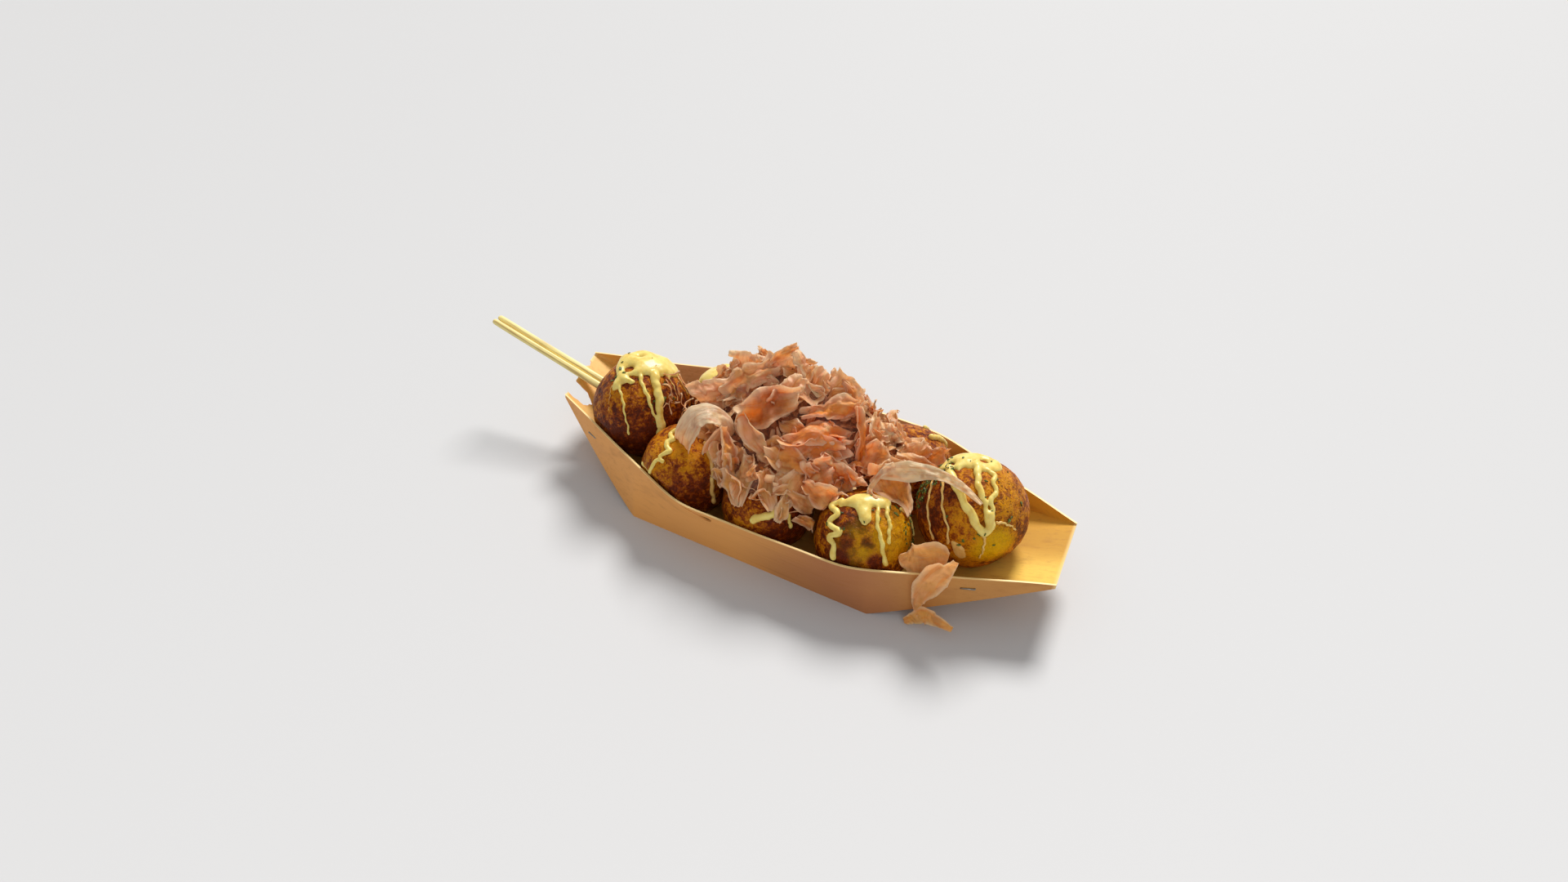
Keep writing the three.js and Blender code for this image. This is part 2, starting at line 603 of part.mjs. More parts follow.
// Reach and height of the heap's foot at an azimuth in degrees, eased between the listed ones.
function footAt(azimuth) {
  const turn = ((azimuth % 360) + 360) % 360;
  const around = [...HEAP.foot, [HEAP.foot[0][0] + 360, HEAP.foot[0][1], HEAP.foot[0][2]]];
  const place = turn < around[0][0] ? turn + 360 : turn;
  const next = around.findIndex(([a]) => a >= place) || 1;
  const [from, to] = [around[next - 1], around[next]];
  const ease = (1 - Math.cos((Math.PI * (place - from[0])) / (to[0] - from[0]))) / 2;
  return { reach: lerp(from[1], to[1], ease), height: lerp(from[2], to[2], ease) };
}

// A point on the mound: out runs from 0 on its ridge to 1 at its foot.
function moundPoint(azimuth, out) {
  const a = THREE.MathUtils.degToRad(azimuth);
  const { reach, height } = footAt(azimuth);
  const { at, radii, top, fall, span } = HEAP.ridge;
  const ridgeX = at[0] + radii[0] * Math.cos(a);
  const ridgeY = at[1] + radii[1] * Math.sin(a);
  const ridgeZ = top[1] - fall * ((ridgeX - top[0]) / span) ** 2;
  return v3(
    lerp(ridgeX, HEAP.centre[0] + reach * Math.cos(a), out),
    lerp(ridgeY, HEAP.centre[1] + reach * Math.sin(a), out),
    height + (ridgeZ - height) * (1 - out ** HEAP.bulge),
  );
}

// Axes on the mound's surface: along its contour, up its slope and straight out of it.
function moundAxes(azimuth, out) {
  const step = 0.03;
  const ring = Math.max(out, step);
  const right = moundPoint(azimuth + 3, ring).sub(moundPoint(azimuth - 3, ring)).normalize();
  const up = moundPoint(azimuth, Math.max(out - step, 0)).sub(moundPoint(azimuth, out + step)).normalize();
  return { right, up, out: right.clone().cross(up).normalize() };
}

function coreSolid() {
  const azimuths = Array.from({ length: HEAP.sides }, (_, k) => (360 * k) / HEAP.sides);
  const rings = HEAP.rings.map((out, r) => azimuths.map((azimuth, k) => {
    const bump = HEAP.rough * Math.sin(2.4 * k + 1.9 * r) * Math.sin(1.1 * k + 2.7 * r);
    return moundPoint(azimuth, out).addScaledVector(moundAxes(azimuth, out).out, bump);
  }));
  const { inset, drop, middle } = HEAP.under;
  const centre = v3(...HEAP.centre, middle);
  const under = azimuths.map((azimuth) => {
    const p = moundPoint(azimuth, 1);
    return v3(lerp(centre.x, p.x, inset), lerp(centre.y, p.y, inset), p.z - drop);
  });
  const summit = v3(...HEAP.ridge.at, HEAP.ridge.top[1] + 1);
  return spindleSolid(summit, [azimuths.map((azimuth) => moundPoint(azimuth, 0)), ...rings, under], centre);
}

// The middle surface of a flake as a grid of points, with the direction it faces at each.
function flakeGrid({ at, size, curl, cup, axes, seed, cells }) {
  const [length, width] = size;
  const bend = THREE.MathUtils.degToRad(curl) || 1e-3;
  const dish = THREE.MathUtils.degToRad(cup) || 1e-3;
  const { along, across, face } = axes;
  const grid = [];
  for (let i = 0; i <= cells[0]; i++) {
    const u = (2 * i) / cells[0] - 1;
    const ragged = 1 + FLAKE.ragged * (Math.sin(5.3 * u + seed) + 0.5 * Math.sin(11 * u + 2 * seed));
    const half = (width / 2) * ragged * Math.sqrt(1 - 0.78 * Math.abs(u) ** 2.6);
    const row = [];
    for (let j = 0; j <= cells[1]; j++) {
      const v = (2 * j) / cells[1] - 1;
      const wave = FLAKE.ripple * Math.sin(3.4 * u + 1.7 * v + seed)
        + 0.6 * FLAKE.ripple * Math.sin(5.1 * v - 2.2 * u + 1.7 * seed);
      const turnU = (bend * u) / 2;
      const turnV = (dish * v) / 2;
      const x = (length / bend) * Math.sin(turnU);
      const y = ((2 * half) / dish) * Math.sin(turnV);
      const sag = (length / bend) * (1 - Math.cos(turnU)) + ((2 * half) / dish) * (1 - Math.cos(turnV));
      const p = v3(...at).addScaledVector(along, x).addScaledVector(across, y);
      row.push(p.addScaledVector(face, wave - sag));
    }
    grid.push(row);
  }
  return grid;
}

// Outward directions of a grid of points, from the neighbours of each.
function gridFaces(grid) {
  const [rows, columns] = [grid.length, grid[0].length];
  return grid.map((row, r) => row.map((_, c) => {
    const down = grid[Math.min(r + 1, rows - 1)][c].clone().sub(grid[Math.max(r - 1, 0)][c]);
    const over = row[Math.min(c + 1, columns - 1)].clone().sub(row[Math.max(c - 1, 0)]);
    return down.cross(over).normalize();
  }));
}

// A sheet of the flakes' thickness round a grid of points; grow swells it on both sides.
function sheetRound(grid, grow = 0) {
  const faces = gridFaces(grid);
  const half = FLAKE.thick / 2 + grow;
  const shifted = (by) => grid.map((row, r) => (
    row.map((p, c) => p.clone().addScaledVector(faces[r][c], by))
  ));
  return sheetSolid(shifted(half), shifted(-half));
}

// Turns axes on a surface into a flake's own: its length, its width and its face.
function flakeAxes({ right, up, out }, { turn, pitch, roll }) {
  const axis = (v) => (v.isVector3 ? v.clone() : v3(...v));
  const [r, u, n] = [axis(right), axis(up), axis(out)];
  const heading = THREE.MathUtils.degToRad(turn);
  const along = r.clone().multiplyScalar(Math.cos(heading)).addScaledVector(u, Math.sin(heading));
  const across = n.clone().cross(along).normalize();
  along.applyAxisAngle(across, -THREE.MathUtils.degToRad(pitch));
  across.applyAxisAngle(along, THREE.MathUtils.degToRad(roll));
  return { along, across, face: along.clone().cross(across) };
}

// Lifts a point out of the balls, so that a flake drapes over them.
function draped(point) {
  const p = point.clone();
  for (const ball of BALLS) {
    const centre = v3(...ball.at);
    const away = p.clone().sub(centre);
    const clear = ball.radius + FLAKE.thick + GAP;
    if (away.length() < clear) p.copy(centre).addScaledVector(away.normalize(), clear);
  }
  return p;
}

function largeFlakes() {
  const { large, middle } = FLAKE.cells;
  return LARGE_FLAKES.map((flake, i) => {
    const cells = flake.size[0] * flake.size[1] < FLAKE.middle ? middle : large;
    return { ...flake, axes: flakeAxes(SLOPE, flake), seed: 1.7 * i, cells };
  });
}

// The small flakes are spread over the mound by the golden angle.
function smallFlakes() {
  const { count, seed, length, ratio, tilt, curl, cup, lift } = SMALL_FLAKES;
  const draw = drawsFrom(seed);
  const between = (low, high) => lerp(low, high, draw());
  const goldenTurn = 137.508;
  return Array.from({ length: count }, (_, i) => {
    const azimuth = i * goldenTurn;
    const out = 0.95 * Math.sqrt((i + 0.5) / count);
    const axes = moundAxes(azimuth, out);
    const long = between(...length);
    const turned = { turn: 360 * draw(), pitch: 0.4 * between(-tilt, tilt), roll: between(-tilt, tilt) };
    return {
      at: moundPoint(azimuth, out).addScaledVector(axes.out, lift).toArray(),
      size: [long, long * between(...ratio)], curl: between(...curl), cup: between(-cup, cup),
      axes: flakeAxes(axes, turned), seed: 40 + 2.3 * i, cells: FLAKE.cells.small,
    };
  });
}

// A ribbon along its path, its width set square to the path and to its face. A hub turns its face
// away from the hub's point, by the share lean.
function ribbonSolid({ path, widths, face, hub, lean }, grow = 0) {
  const line = new THREE.CatmullRomCurve3(path.map((p) => v3(...p)));
  const facing = v3(...face).normalize();
  const grid = Array.from({ length: RIBBON.steps + 1 }, (_, i) => {
    const t = i / RIBBON.steps;
    const middle = line.getPoint(t);
    const heading = line.getTangent(t);
    const away = hub ? middle.clone().sub(v3(...hub)).normalize().multiplyScalar(lean) : v3(0, 0, 0);
    const across = facing.clone().add(away).cross(heading).normalize();
    const out = heading.clone().cross(across).normalize();
    const place = t * (widths.length - 1);
    const k = Math.min(Math.floor(place), widths.length - 2);
    const half = lerp(widths[k], widths[k + 1], place - k) / 2 + grow;
    return RIBBON.across.map((v, j) => middle.clone()
      .addScaledVector(across, v * half)
      .addScaledVector(out, RIBBON.ripple * Math.sin(2.1 * i + 1.6 * j)));
  });
  return sheetRound(grid, grow);
}

function looseSolid({ ribbons }, grow = 0) {
  return wasm.Manifold.union(ribbons.map((ribbon) => ribbonSolid(ribbon, grow)));
}

// The mound's core with its flakes fused on, cut clear of what it lies on and of what lies on it.
function heapSolid(cutters) {
  const flakes = [...largeFlakes(), ...smallFlakes()];
  const sheets = flakes.map((flake) => sheetRound(flakeGrid(flake).map((row) => row.map(draped))));
  const heap = wasm.Manifold.union([coreSolid(), ribbonSolid(ARCHED_FLAKE), ...sheets]);
  return largestBody(cutters.reduce((rest, cutter) => rest.subtract(cutter), heap));
}

// ---------------------------------------------------------------- picks

// A round pick: its far end is rounded off, and the end in the ball comes to a blunt point.
function pickSolid(index, grow = 0) {
  const heading = v3(...PICK.rest).sub(v3(...PICK.tip)).normalize();
  const beside = v3(0, 0, 1).cross(heading).normalize();
  const raised = heading.clone().cross(beside);
  const tip = v3(...PICK.tip).addScaledVector(beside, index * PICK.apart);
  const onAxis = (reach) => tip.clone().addScaledVector(heading, reach);
  const ring = ([reach, radius]) => Array.from({ length: PICK.sides }, (_, k) => {
    const turn = (2 * Math.PI * k) / PICK.sides;
    const wide = radius + grow;
    return onAxis(reach).addScaledVector(beside, wide * Math.cos(turn))
      .addScaledVector(raised, wide * Math.sin(turn));
  });
  const { length, thin, thick } = PICK;
  const profile = [
    [0.6 - grow, 0.35 * thin], [1.8, 0.5 * thin], [0.7 * length, 0.5 * thick],
    [length - 6, 0.5 * thick], [length, 0.18 * thick],
  ];
  return spindleSolid(onAxis(-grow), profile.map(ring), onAxis(length + 0.4 + grow));
}

// ---------------------------------------------------------------- assembly

const material = (color, roughness) => new THREE.MeshStandardMaterial({ color, roughness, metalness: 0 });
const FINISH = {
  tray: material('#d9ae6a', 0.7),
  ball: material('#9a5a14', 0.45),
  bonito: material('#cf9470', 0.6),
  pick: material('#e6d08a', 0.6),
};

const part = new THREE.Group();
part.name = 'takoyaki_boat';
part.add(meshOf('tray', makeTray(), FINISH.tray));

const picks = [0, 1];
BALLS.forEach((ball, i) => {
  let solid = wasm.Manifold.union([crustSolid(ball, 0), ...sauceSolids(ball)]);
  if (i === 0) for (const index of picks) solid = solid.subtract(pickSolid(index, GAP));
  part.add(meshOf(ball.name, largestBody(solid), FINISH.ball));
});
for (const index of picks) part.add(meshOf(`pick_${index + 1}`, pickSolid(index), FINISH.pick));

const clearances = [traySolid(GAP), ...BALLS.map(ballClearance)];
for (const loose of LOOSE_FLAKES) {
  let solid = looseSolid(loose);
  for (const cutter of clearances) solid = solid.subtract(cutter);
  part.add(meshOf(loose.name, largestBody(solid), FINISH.bonito));
}
const heapClearances = [...clearances, ...LOOSE_FLAKES.map((loose) => looseSolid(loose, GAP))];
part.add(meshOf('bonito_heap', heapSolid(heapClearances), FINISH.bonito));

export default part;
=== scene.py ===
"""Takoyaki in a folded wooden boat tray: the looks of every piece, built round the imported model.

Lengths in the sub-assemblies are in millimetres and angles in degrees. Meshes are in metres.
"""

import json
import logging
import random
from collections.abc import Mapping, Sequence
from dataclasses import dataclass, field
from enum import Enum
from math import cos, pi, radians, sin

import bmesh
import bpy
import numpy as np
from bpy.types import ID, Collection, Material, Mesh, NodeSocket, NodeTree, Object
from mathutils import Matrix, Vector, noise
from numpy.linalg import norm

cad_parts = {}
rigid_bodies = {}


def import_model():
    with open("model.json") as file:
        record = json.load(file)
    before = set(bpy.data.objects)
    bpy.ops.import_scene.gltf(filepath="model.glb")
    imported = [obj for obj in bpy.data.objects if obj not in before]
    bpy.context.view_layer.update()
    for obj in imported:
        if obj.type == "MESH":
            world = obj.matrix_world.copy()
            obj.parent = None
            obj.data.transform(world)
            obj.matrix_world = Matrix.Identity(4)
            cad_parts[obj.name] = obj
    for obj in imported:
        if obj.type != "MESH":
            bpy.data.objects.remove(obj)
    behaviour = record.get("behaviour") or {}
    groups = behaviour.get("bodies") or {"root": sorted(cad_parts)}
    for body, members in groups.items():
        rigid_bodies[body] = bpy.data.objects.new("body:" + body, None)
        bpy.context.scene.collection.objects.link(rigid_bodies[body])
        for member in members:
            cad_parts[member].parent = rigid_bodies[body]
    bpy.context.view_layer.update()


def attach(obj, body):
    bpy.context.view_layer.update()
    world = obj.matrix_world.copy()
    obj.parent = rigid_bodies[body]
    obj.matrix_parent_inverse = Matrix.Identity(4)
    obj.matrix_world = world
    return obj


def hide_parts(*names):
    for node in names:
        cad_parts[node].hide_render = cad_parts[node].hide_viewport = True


MM = 0.001
BODY = "root"

Array = np.ndarray
Arrays = tuple[Array, ...]
Pair = tuple[float, float]
Point = tuple[float, float, float]
Colour = tuple[float, float, float, float]
Face = tuple[int, ...]

log = logging.getLogger("takoyaki")


def srgb(red: int, green: int, blue: int) -> Colour:
    """Turns a colour as a screen shows it, in steps from 0 to 255, into the linear one of a shader."""
    parts = (step / 255 for step in (red, green, blue))
    return (*(part / 12.92 if part <= 0.04045 else ((part + 0.055) / 1.055) ** 2.4 for part in parts), 1.0)


# ---- curves and fields


def lerp(start: Array | float, end: Array | float, share: Array | float) -> Array | float:
    """The value at a share of the way from start to end."""
    return start + (end - start) * share


def unit(vectors: Array) -> Array:
    """The same vectors with a length of one."""
    return vectors / np.maximum(norm(vectors, axis=-1, keepdims=True), 1e-9)


def direction(azimuth: Array | float, elevation: Array | float) -> Array:
    """A direction from an azimuth round +Z and an elevation, both in degrees."""
    turn, rise = np.radians(azimuth), np.radians(elevation)
    return np.stack([np.cos(rise) * np.cos(turn), np.cos(rise) * np.sin(turn), np.sin(rise)], axis=-1)


def angles_from(out: Array, place: Pair) -> Array:
    """The angles of directions from the one at an azimuth and elevation, all in degrees."""
    return np.degrees(np.arccos(np.clip(out @ direction(*place), -1, 1)))


def soft_min(left: Array, right: float | Array, blend: float) -> Array:
    """The smaller of two values, with a rounded change from one to the other."""
    return -blend * np.log(np.exp(-np.asarray(left) / blend) + np.exp(-np.asarray(right) / blend))


def curve_points(through: Sequence[Sequence[float]], shares: Array) -> Array:
    """Points on a centripetal Catmull-Rom curve.

    Args:
        through: The points that the curve runs through.
        shares: Where to read it, from 0 at its first point to 1 at its last.

    Returns:
        One row for each share.
    """
    knots = np.asarray(through, float)
    padded = np.vstack([2 * knots[0] - knots[1], knots, 2 * knots[-1] - knots[-2]])
    place = np.clip(shares, 0, 1) * (len(knots) - 1)
    index = np.minimum(place.astype(int), len(knots) - 2)
    t = (place - index)[:, None]
    before, start, end, after = (padded[index + k] for k in range(4))
    pairs = ((before, start), (start, end), (end, after))
    spans = [norm(b - a, axis=1)[:, None] ** 0.5 for a, b in pairs]
    first, middle, last = (np.maximum(span, 1e-4) for span in spans)
    leave = ((start - before) / first - (end - before) / (first + middle) + (end - start) / middle) * middle
    arrive = ((end - start) / middle - (after - start) / (middle + last) + (after - end) / last) * middle
    square = -3 * start + 3 * end - 2 * leave - arrive
    cube = 2 * start - 2 * end + leave + arrive
    return start + leave * t + square * t**2 + cube * t**3


def even_points(through: Sequence[Sequence[float]], count: int) -> Array:
    """A number of points, spread evenly by length along a smooth curve through the given ones."""
    fine = curve_points(through, np.linspace(0, 1, 240))
    reach = np.concatenate([[0], np.cumsum(norm(np.diff(fine, axis=0), axis=1))])
    wanted = np.linspace(0, reach[-1], count)
    return np.stack([np.interp(wanted, reach, fine[:, axis]) for axis in range(3)], axis=1)


def fractal(points: Array, size: float, octaves: int, seed: float) -> Array:
    """Soft random relief with lumps of a size in millimetres at points, between about -1 and 1."""
    moved = points / size + np.array([seed * 7.3, seed * 3.1, seed * 5.7])
    return np.array([noise.fractal(Vector(p), 1.0, 2.1, octaves) for p in moved])


# ---- meshes


def placed(name: str, data: ID) -> Object:
    """Puts a new object with its data into the scene."""
    made = bpy.data.objects.new(name, data)
    bpy.context.scene.collection.objects.link(made)
    return made


def mesh_from(name: str, points: Array, faces: Sequence[Face], edges: Sequence[Face] = ()) -> Object:
    """A mesh object with smooth faces.

    Args:
        name: Its name.
        points: Its points, in millimetres.
        faces: The points of each face, by index.
        edges: The points of each edge that has no face.

    Returns:
        The object, in the scene.
    """
    mesh = bpy.data.meshes.new(name)
    mesh.from_pydata((np.asarray(points) * MM).tolist(), edges, [list(face) for face in faces])
    mesh.polygons.foreach_set("use_smooth", [True] * len(mesh.polygons))
    mesh.update()
    return placed(name, mesh)


def grid_faces(rows: int, columns: int, start: int = 0) -> list[Face]:
    """The quads of a grid of points that begins at an index."""
    return [
        (start + r * columns + c, start + r * columns + c + 1,
         start + (r + 1) * columns + c + 1, start + (r + 1) * columns + c)
        for r in range(rows - 1) for c in range(columns - 1)
    ]


def tube_faces(rows: int, sides: int) -> list[Face]:
    """The quads of a tube of rings, one after the other."""
    return [
        (r * sides + k, r * sides + (k + 1) % sides, (r + 1) * sides + (k + 1) % sides, (r + 1) * sides + k)
        for r in range(rows - 1) for k in range(sides)
    ]


def sheet_faces(rows: int, columns: int) -> list[Face]:
    """The quads of two grids that lie face to face, closed along their borders.

    Args:
        rows: Rows of points in each grid.
        columns: Columns of points in each grid.

    Returns:
        The first grid's quads, the second's and those between them.
    """
    count = rows * columns
    front = grid_faces(rows, columns)
    back = [tuple(reversed(quad)) for quad in grid_faces(rows, columns, count)]
    border = [(0, c) for c in range(columns - 1)] + [(r, columns - 1) for r in range(rows - 1)]
    border += [(rows - 1, c) for c in range(columns - 1, 0, -1)] + [(r, 0) for r in range(rows - 1, 0, -1)]
    ids = [r * columns + c for r, c in border]
    sides = [(b, a, a + count, b + count) for a, b in zip(ids, ids[1:] + ids[:1])]
    return front + back + sides


def store_values(mesh: Mesh, name: str, values: Array) -> None:
    """Keeps one number for each point of a mesh, for its material or its nodes to read."""
    kept = mesh.attributes.get(name) or mesh.attributes.new(name, "FLOAT", "POINT")
    kept.data.foreach_set("value", np.asarray(values, np.float32))


def point_array(mesh: Mesh) -> Array:
    """The points of a mesh, in metres."""
    points = np.zeros(len(mesh.vertices) * 3)
    mesh.vertices.foreach_get("co", points)
    return points.reshape(-1, 3)


def finished(made: Object) -> Object:
    """Turns an object with its modifiers into a plain mesh object of the same name.

    Args:
        made: The object.

    Returns:
        The same object.
    """
    graph = bpy.context.evaluated_depsgraph_get()
    result = made.evaluated_get(graph)
    mesh = bpy.data.meshes.new_from_object(result, preserve_all_data_layers=True, depsgraph=graph)
    name, old = made.name, made.data
    made.modifiers.clear()
    made.data = mesh
    made.name = mesh.name = name
    if old.users == 0:
        bpy.data.meshes.remove(old)
    return made


def face_outwards(made: Object) -> None:
    """Turns the faces of a closed mesh outwards."""
    shape = bmesh.new()
    shape.from_mesh(made.data)
    bmesh.ops.recalc_face_normals(shape, faces=shape.faces)
    if shape.calc_volume(signed=True) < 0:
        bmesh.ops.reverse_faces(shape, faces=shape.faces)
    shape.to_mesh(made.data)
    shape.free()


def set_aside(made: Object, home: Collection) -> None:
    """Moves a shape out of the scene into a collection, to be scattered."""
    bpy.context.scene.collection.objects.unlink(made)
    home.objects.link(made)


def discard(home: Collection) -> None:
    """Removes a collection and what is in it."""
    for shape in list(home.objects):
        bpy.data.objects.remove(shape)
    bpy.data.collections.remove(home)


def sharpen(made: Object, angle: float) -> None:
    """Keeps the edges that bend by more than an angle, in degrees, sharp in the shading."""
    shape = bmesh.new()
    shape.from_mesh(made.data)
    for edge in shape.edges:
        edge.smooth = len(edge.link_faces) == 2 and edge.calc_face_angle(0) < radians(angle)
    shape.to_mesh(made.data)
    shape.free()


def dress(made: Object, finish: "Finish", slot: str, *nodes: str) -> Object:
    """Gives a finished piece its material and its place in the frame.

    Args:
        made: The piece.
        finish: What it is made of.
        slot: The record's material slot that the finish stands for; not used.
        nodes: The nodes of the model that the piece stands for.

    Returns:
        The same piece.
    """
    made.data.materials.clear()
    made.data.materials.append(finish.material())
    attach(made, BODY)
    if nodes:
        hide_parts(*nodes)
    log.info("%s: %d faces", made.name, len(made.data.polygons))
    return made


# ---- node graphs


class Wire:
    """An output socket that adds Math nodes to its graph when it is used in an expression."""

    def __init__(self, graph: "Graph", socket: NodeSocket) -> None:
        """Keeps the socket and the graph that it belongs to."""
        self.graph = graph
        self.socket = socket

    def math(self, operation: str, *values: "Wire | float") -> "Wire":
        """A Math node on this socket and further values."""
        inputs = dict(enumerate((self, *values)))
        return self.graph.node(self.graph.math_node, {"operation": operation}, inputs)

    def __add__(self, other: "Wire | float") -> "Wire":
        """self + other."""
        return self.math("ADD", other)

    __radd__ = __add__

    def __mul__(self, other: "Wire | float") -> "Wire":
        """self * other."""
        return self.math("MULTIPLY", other)

    __rmul__ = __mul__

    def __sub__(self, other: "Wire | float") -> "Wire":
        """self - other."""
        return self.math("SUBTRACT", other)

    def __rsub__(self, other: float) -> "Wire":
        """other - self."""
        return self.graph.node(self.graph.math_node, {"operation": "SUBTRACT"}, {0: other, 1: self})

    def clamped(self) -> "Wire":
        """The value kept between 0 and 1."""
        return self.math("MINIMUM", 1.0).math("MAXIMUM", 0.0)

    def between(self, low: float, high: float) -> "Wire":
        """0 below low, 1 above high and a smooth step from one to the other."""
        settings = {"interpolation_type": "SMOOTHSTEP"}
        return self.graph.node("ShaderNodeMapRange", settings, {0: self, 1: low, 2: high, 3: 0.0, 4: 1.0})


class Graph:
    """A node tree, with one method that makes any node."""

    math_node = "ShaderNodeMath"

    def __init__(self, tree: NodeTree) -> None:
        """Keeps the tree."""
        self.tree = tree

    def node(self, kind: str, settings: Mapping[str, object] | None = None,
             values: Mapping[int | str, object] | None = None, output: int | str = 0) -> Wire:
        """Makes a node.

        Args:
            kind: The node's type.
            settings: Its properties.
            values: A number, colour, object or wire for each of its inputs.
            output: The output that is wanted.

        Returns:
            That output.
        """
        made = self.tree.nodes.new(kind)
        for name, setting in (settings or {}).items():
            setattr(made, name, setting)
        for key, value in (values or {}).items():
            if isinstance(value, Wire):
                self.tree.links.new(value.socket, made.inputs[key])
            else:
                made.inputs[key].default_value = value
        return Wire(self, made.outputs[output])


class ShaderGraph(Graph):
    """The nodes of one material."""

    def __init__(self, name: str) -> None:
        """Makes an empty material."""
        self.made = bpy.data.materials.new(name)
        self.made.use_nodes = True
        super().__init__(self.made.node_tree)
        self.tree.nodes.clear()
        self.place = self.node("ShaderNodeTexCoord", output="Object")

    def mapped(self, scale: Point, turn: Point = (0.0, 0.0, 0.0)) -> Wire:
        """The object's coordinates along axes turned by angles in degrees, multiplied by a scale."""
        angles = tuple(radians(angle) for angle in turn)
        values = {"Vector": self.place, "Rotation": angles, "Scale": tuple(1 / part for part in scale)}
        return self.node("ShaderNodeMapping", {"vector_type": "TEXTURE"}, values)

    def drawn_out(self, place: Wire, factor: float) -> Wire:
        """Coordinates whose first one is multiplied by a factor."""
        return self.node("ShaderNodeMapping", {}, {"Vector": place, "Scale": (factor, 1.0, 1.0)})

    def part(self, axis: int) -> Wire:
        """One of the object's coordinates, in metres."""
        return self.node("ShaderNodeSeparateXYZ", {}, {0: self.place}, axis)

    def noise(self, size: float, detail: float = 3.0, rough: float = 0.55, warp: float = 0.0,
              at: Wire | None = None) -> Wire:
        """Soft noise, between 0 and 1.

        Args:
            size: How large its lumps are, in millimetres or in the unit of at.
            detail: How many finer layers it has.
            rough: How strong these are.
            warp: How far it is distorted.
            at: Other coordinates than the object's.

        Returns:
            The noise.
        """
        scale = 1 / (size * MM) if at is None else 1 / size
        values = {"Vector": at or self.place, "Scale": scale, "Detail": detail, "Roughness": rough,
                  "Distortion": warp}
        return self.node("ShaderNodeTexNoise", {}, values)

    def apart(self, middle: Point) -> Wire:
        """Distance from a place, in metres."""
        values = {0: self.place, 1: middle}
        return self.node("ShaderNodeVectorMath", {"operation": "DISTANCE"}, values, "Value")

    def mix(self, share: Wire | float, start: Wire | Colour, end: Wire | Colour) -> Wire:
        """Blends two colours."""
        settings = {"data_type": "RGBA", "clamp_factor": True}
        return self.node("ShaderNodeMix", settings, {0: share, 6: start, 7: end}, 2)

    def coats(self, tone: Wire | Colour, *over: tuple[Wire | float, Colour]) -> Wire | Colour:
        """A colour with others over it, each with its share."""
        for share, colour in over:
            tone = self.mix(share, tone, colour)
        return tone

    def ramp(self, place: Wire, *stops: tuple[float, Colour]) -> Wire:
        """A colour from a ramp.

        Args:
            place: Where on the ramp.
            stops: The places and colours of its stops.

        Returns:
            The colour.
        """
        colour = self.node("ShaderNodeValToRGB", {}, {0: place})
        elements = colour.socket.node.color_ramp.elements
        while len(elements) < len(stops):
            elements.new(1.0)
        for element, stop in zip(elements, stops):
            element.position, element.color = stop
        return colour

    def stored(self, name: str) -> Wire:
        """A number that the mesh keeps at each point."""
        return self.node("ShaderNodeAttribute", {"attribute_name": name}, output="Fac")

    def bumped(self, height: Wire, depth: float, below: Wire | None = None) -> Wire:
        """A normal from a height, whose full range is a depth in millimetres."""
        values: dict[int | str, object] = {"Height": height, "Distance": depth * MM, "Strength": 1.0}
        if below is not None:
            values["Normal"] = below
        return self.node("ShaderNodeBump", {}, values)

    def skin(self, colour: Wire, roughness: Wire | float, normal: Wire | None = None,
             **constants: object) -> Wire:
        """A Principled shader.

        Args:
            colour: The base colour.
            roughness: The roughness.
            normal: The normal, where there is a bump.
            constants: Values of further sockets, with _ for a space in their names.

        Returns:
            The shader.
        """
        values: dict[int | str, object] = {"Base Color": colour, "Roughness": roughness}
        values |= {name.replace("_", " "): value for name, value in constants.items()}
        if normal is not None:
            values["Normal"] = normal
        return self.node("ShaderNodeBsdfPrincipled", {}, values)

    def glow(self, colour: Colour) -> Wire:
        """Light of one colour that passes through a thin sheet."""
        return self.node("ShaderNodeBsdfTranslucent", {}, {"Color": colour})

    def blend(self, share: Wire | float, start: Wire, end: Wire) -> Wire:
        """Blends two shaders."""
        return self.node("ShaderNodeMixShader", {}, {0: share, 1: start, 2: end})

    def surface(self, shader: Wire) -> Material:
        """Ends the material in a shader."""
        output = self.tree.nodes.new("ShaderNodeOutputMaterial")
        self.tree.links.new(shader.socket, output.inputs["Surface"])
        return self.made


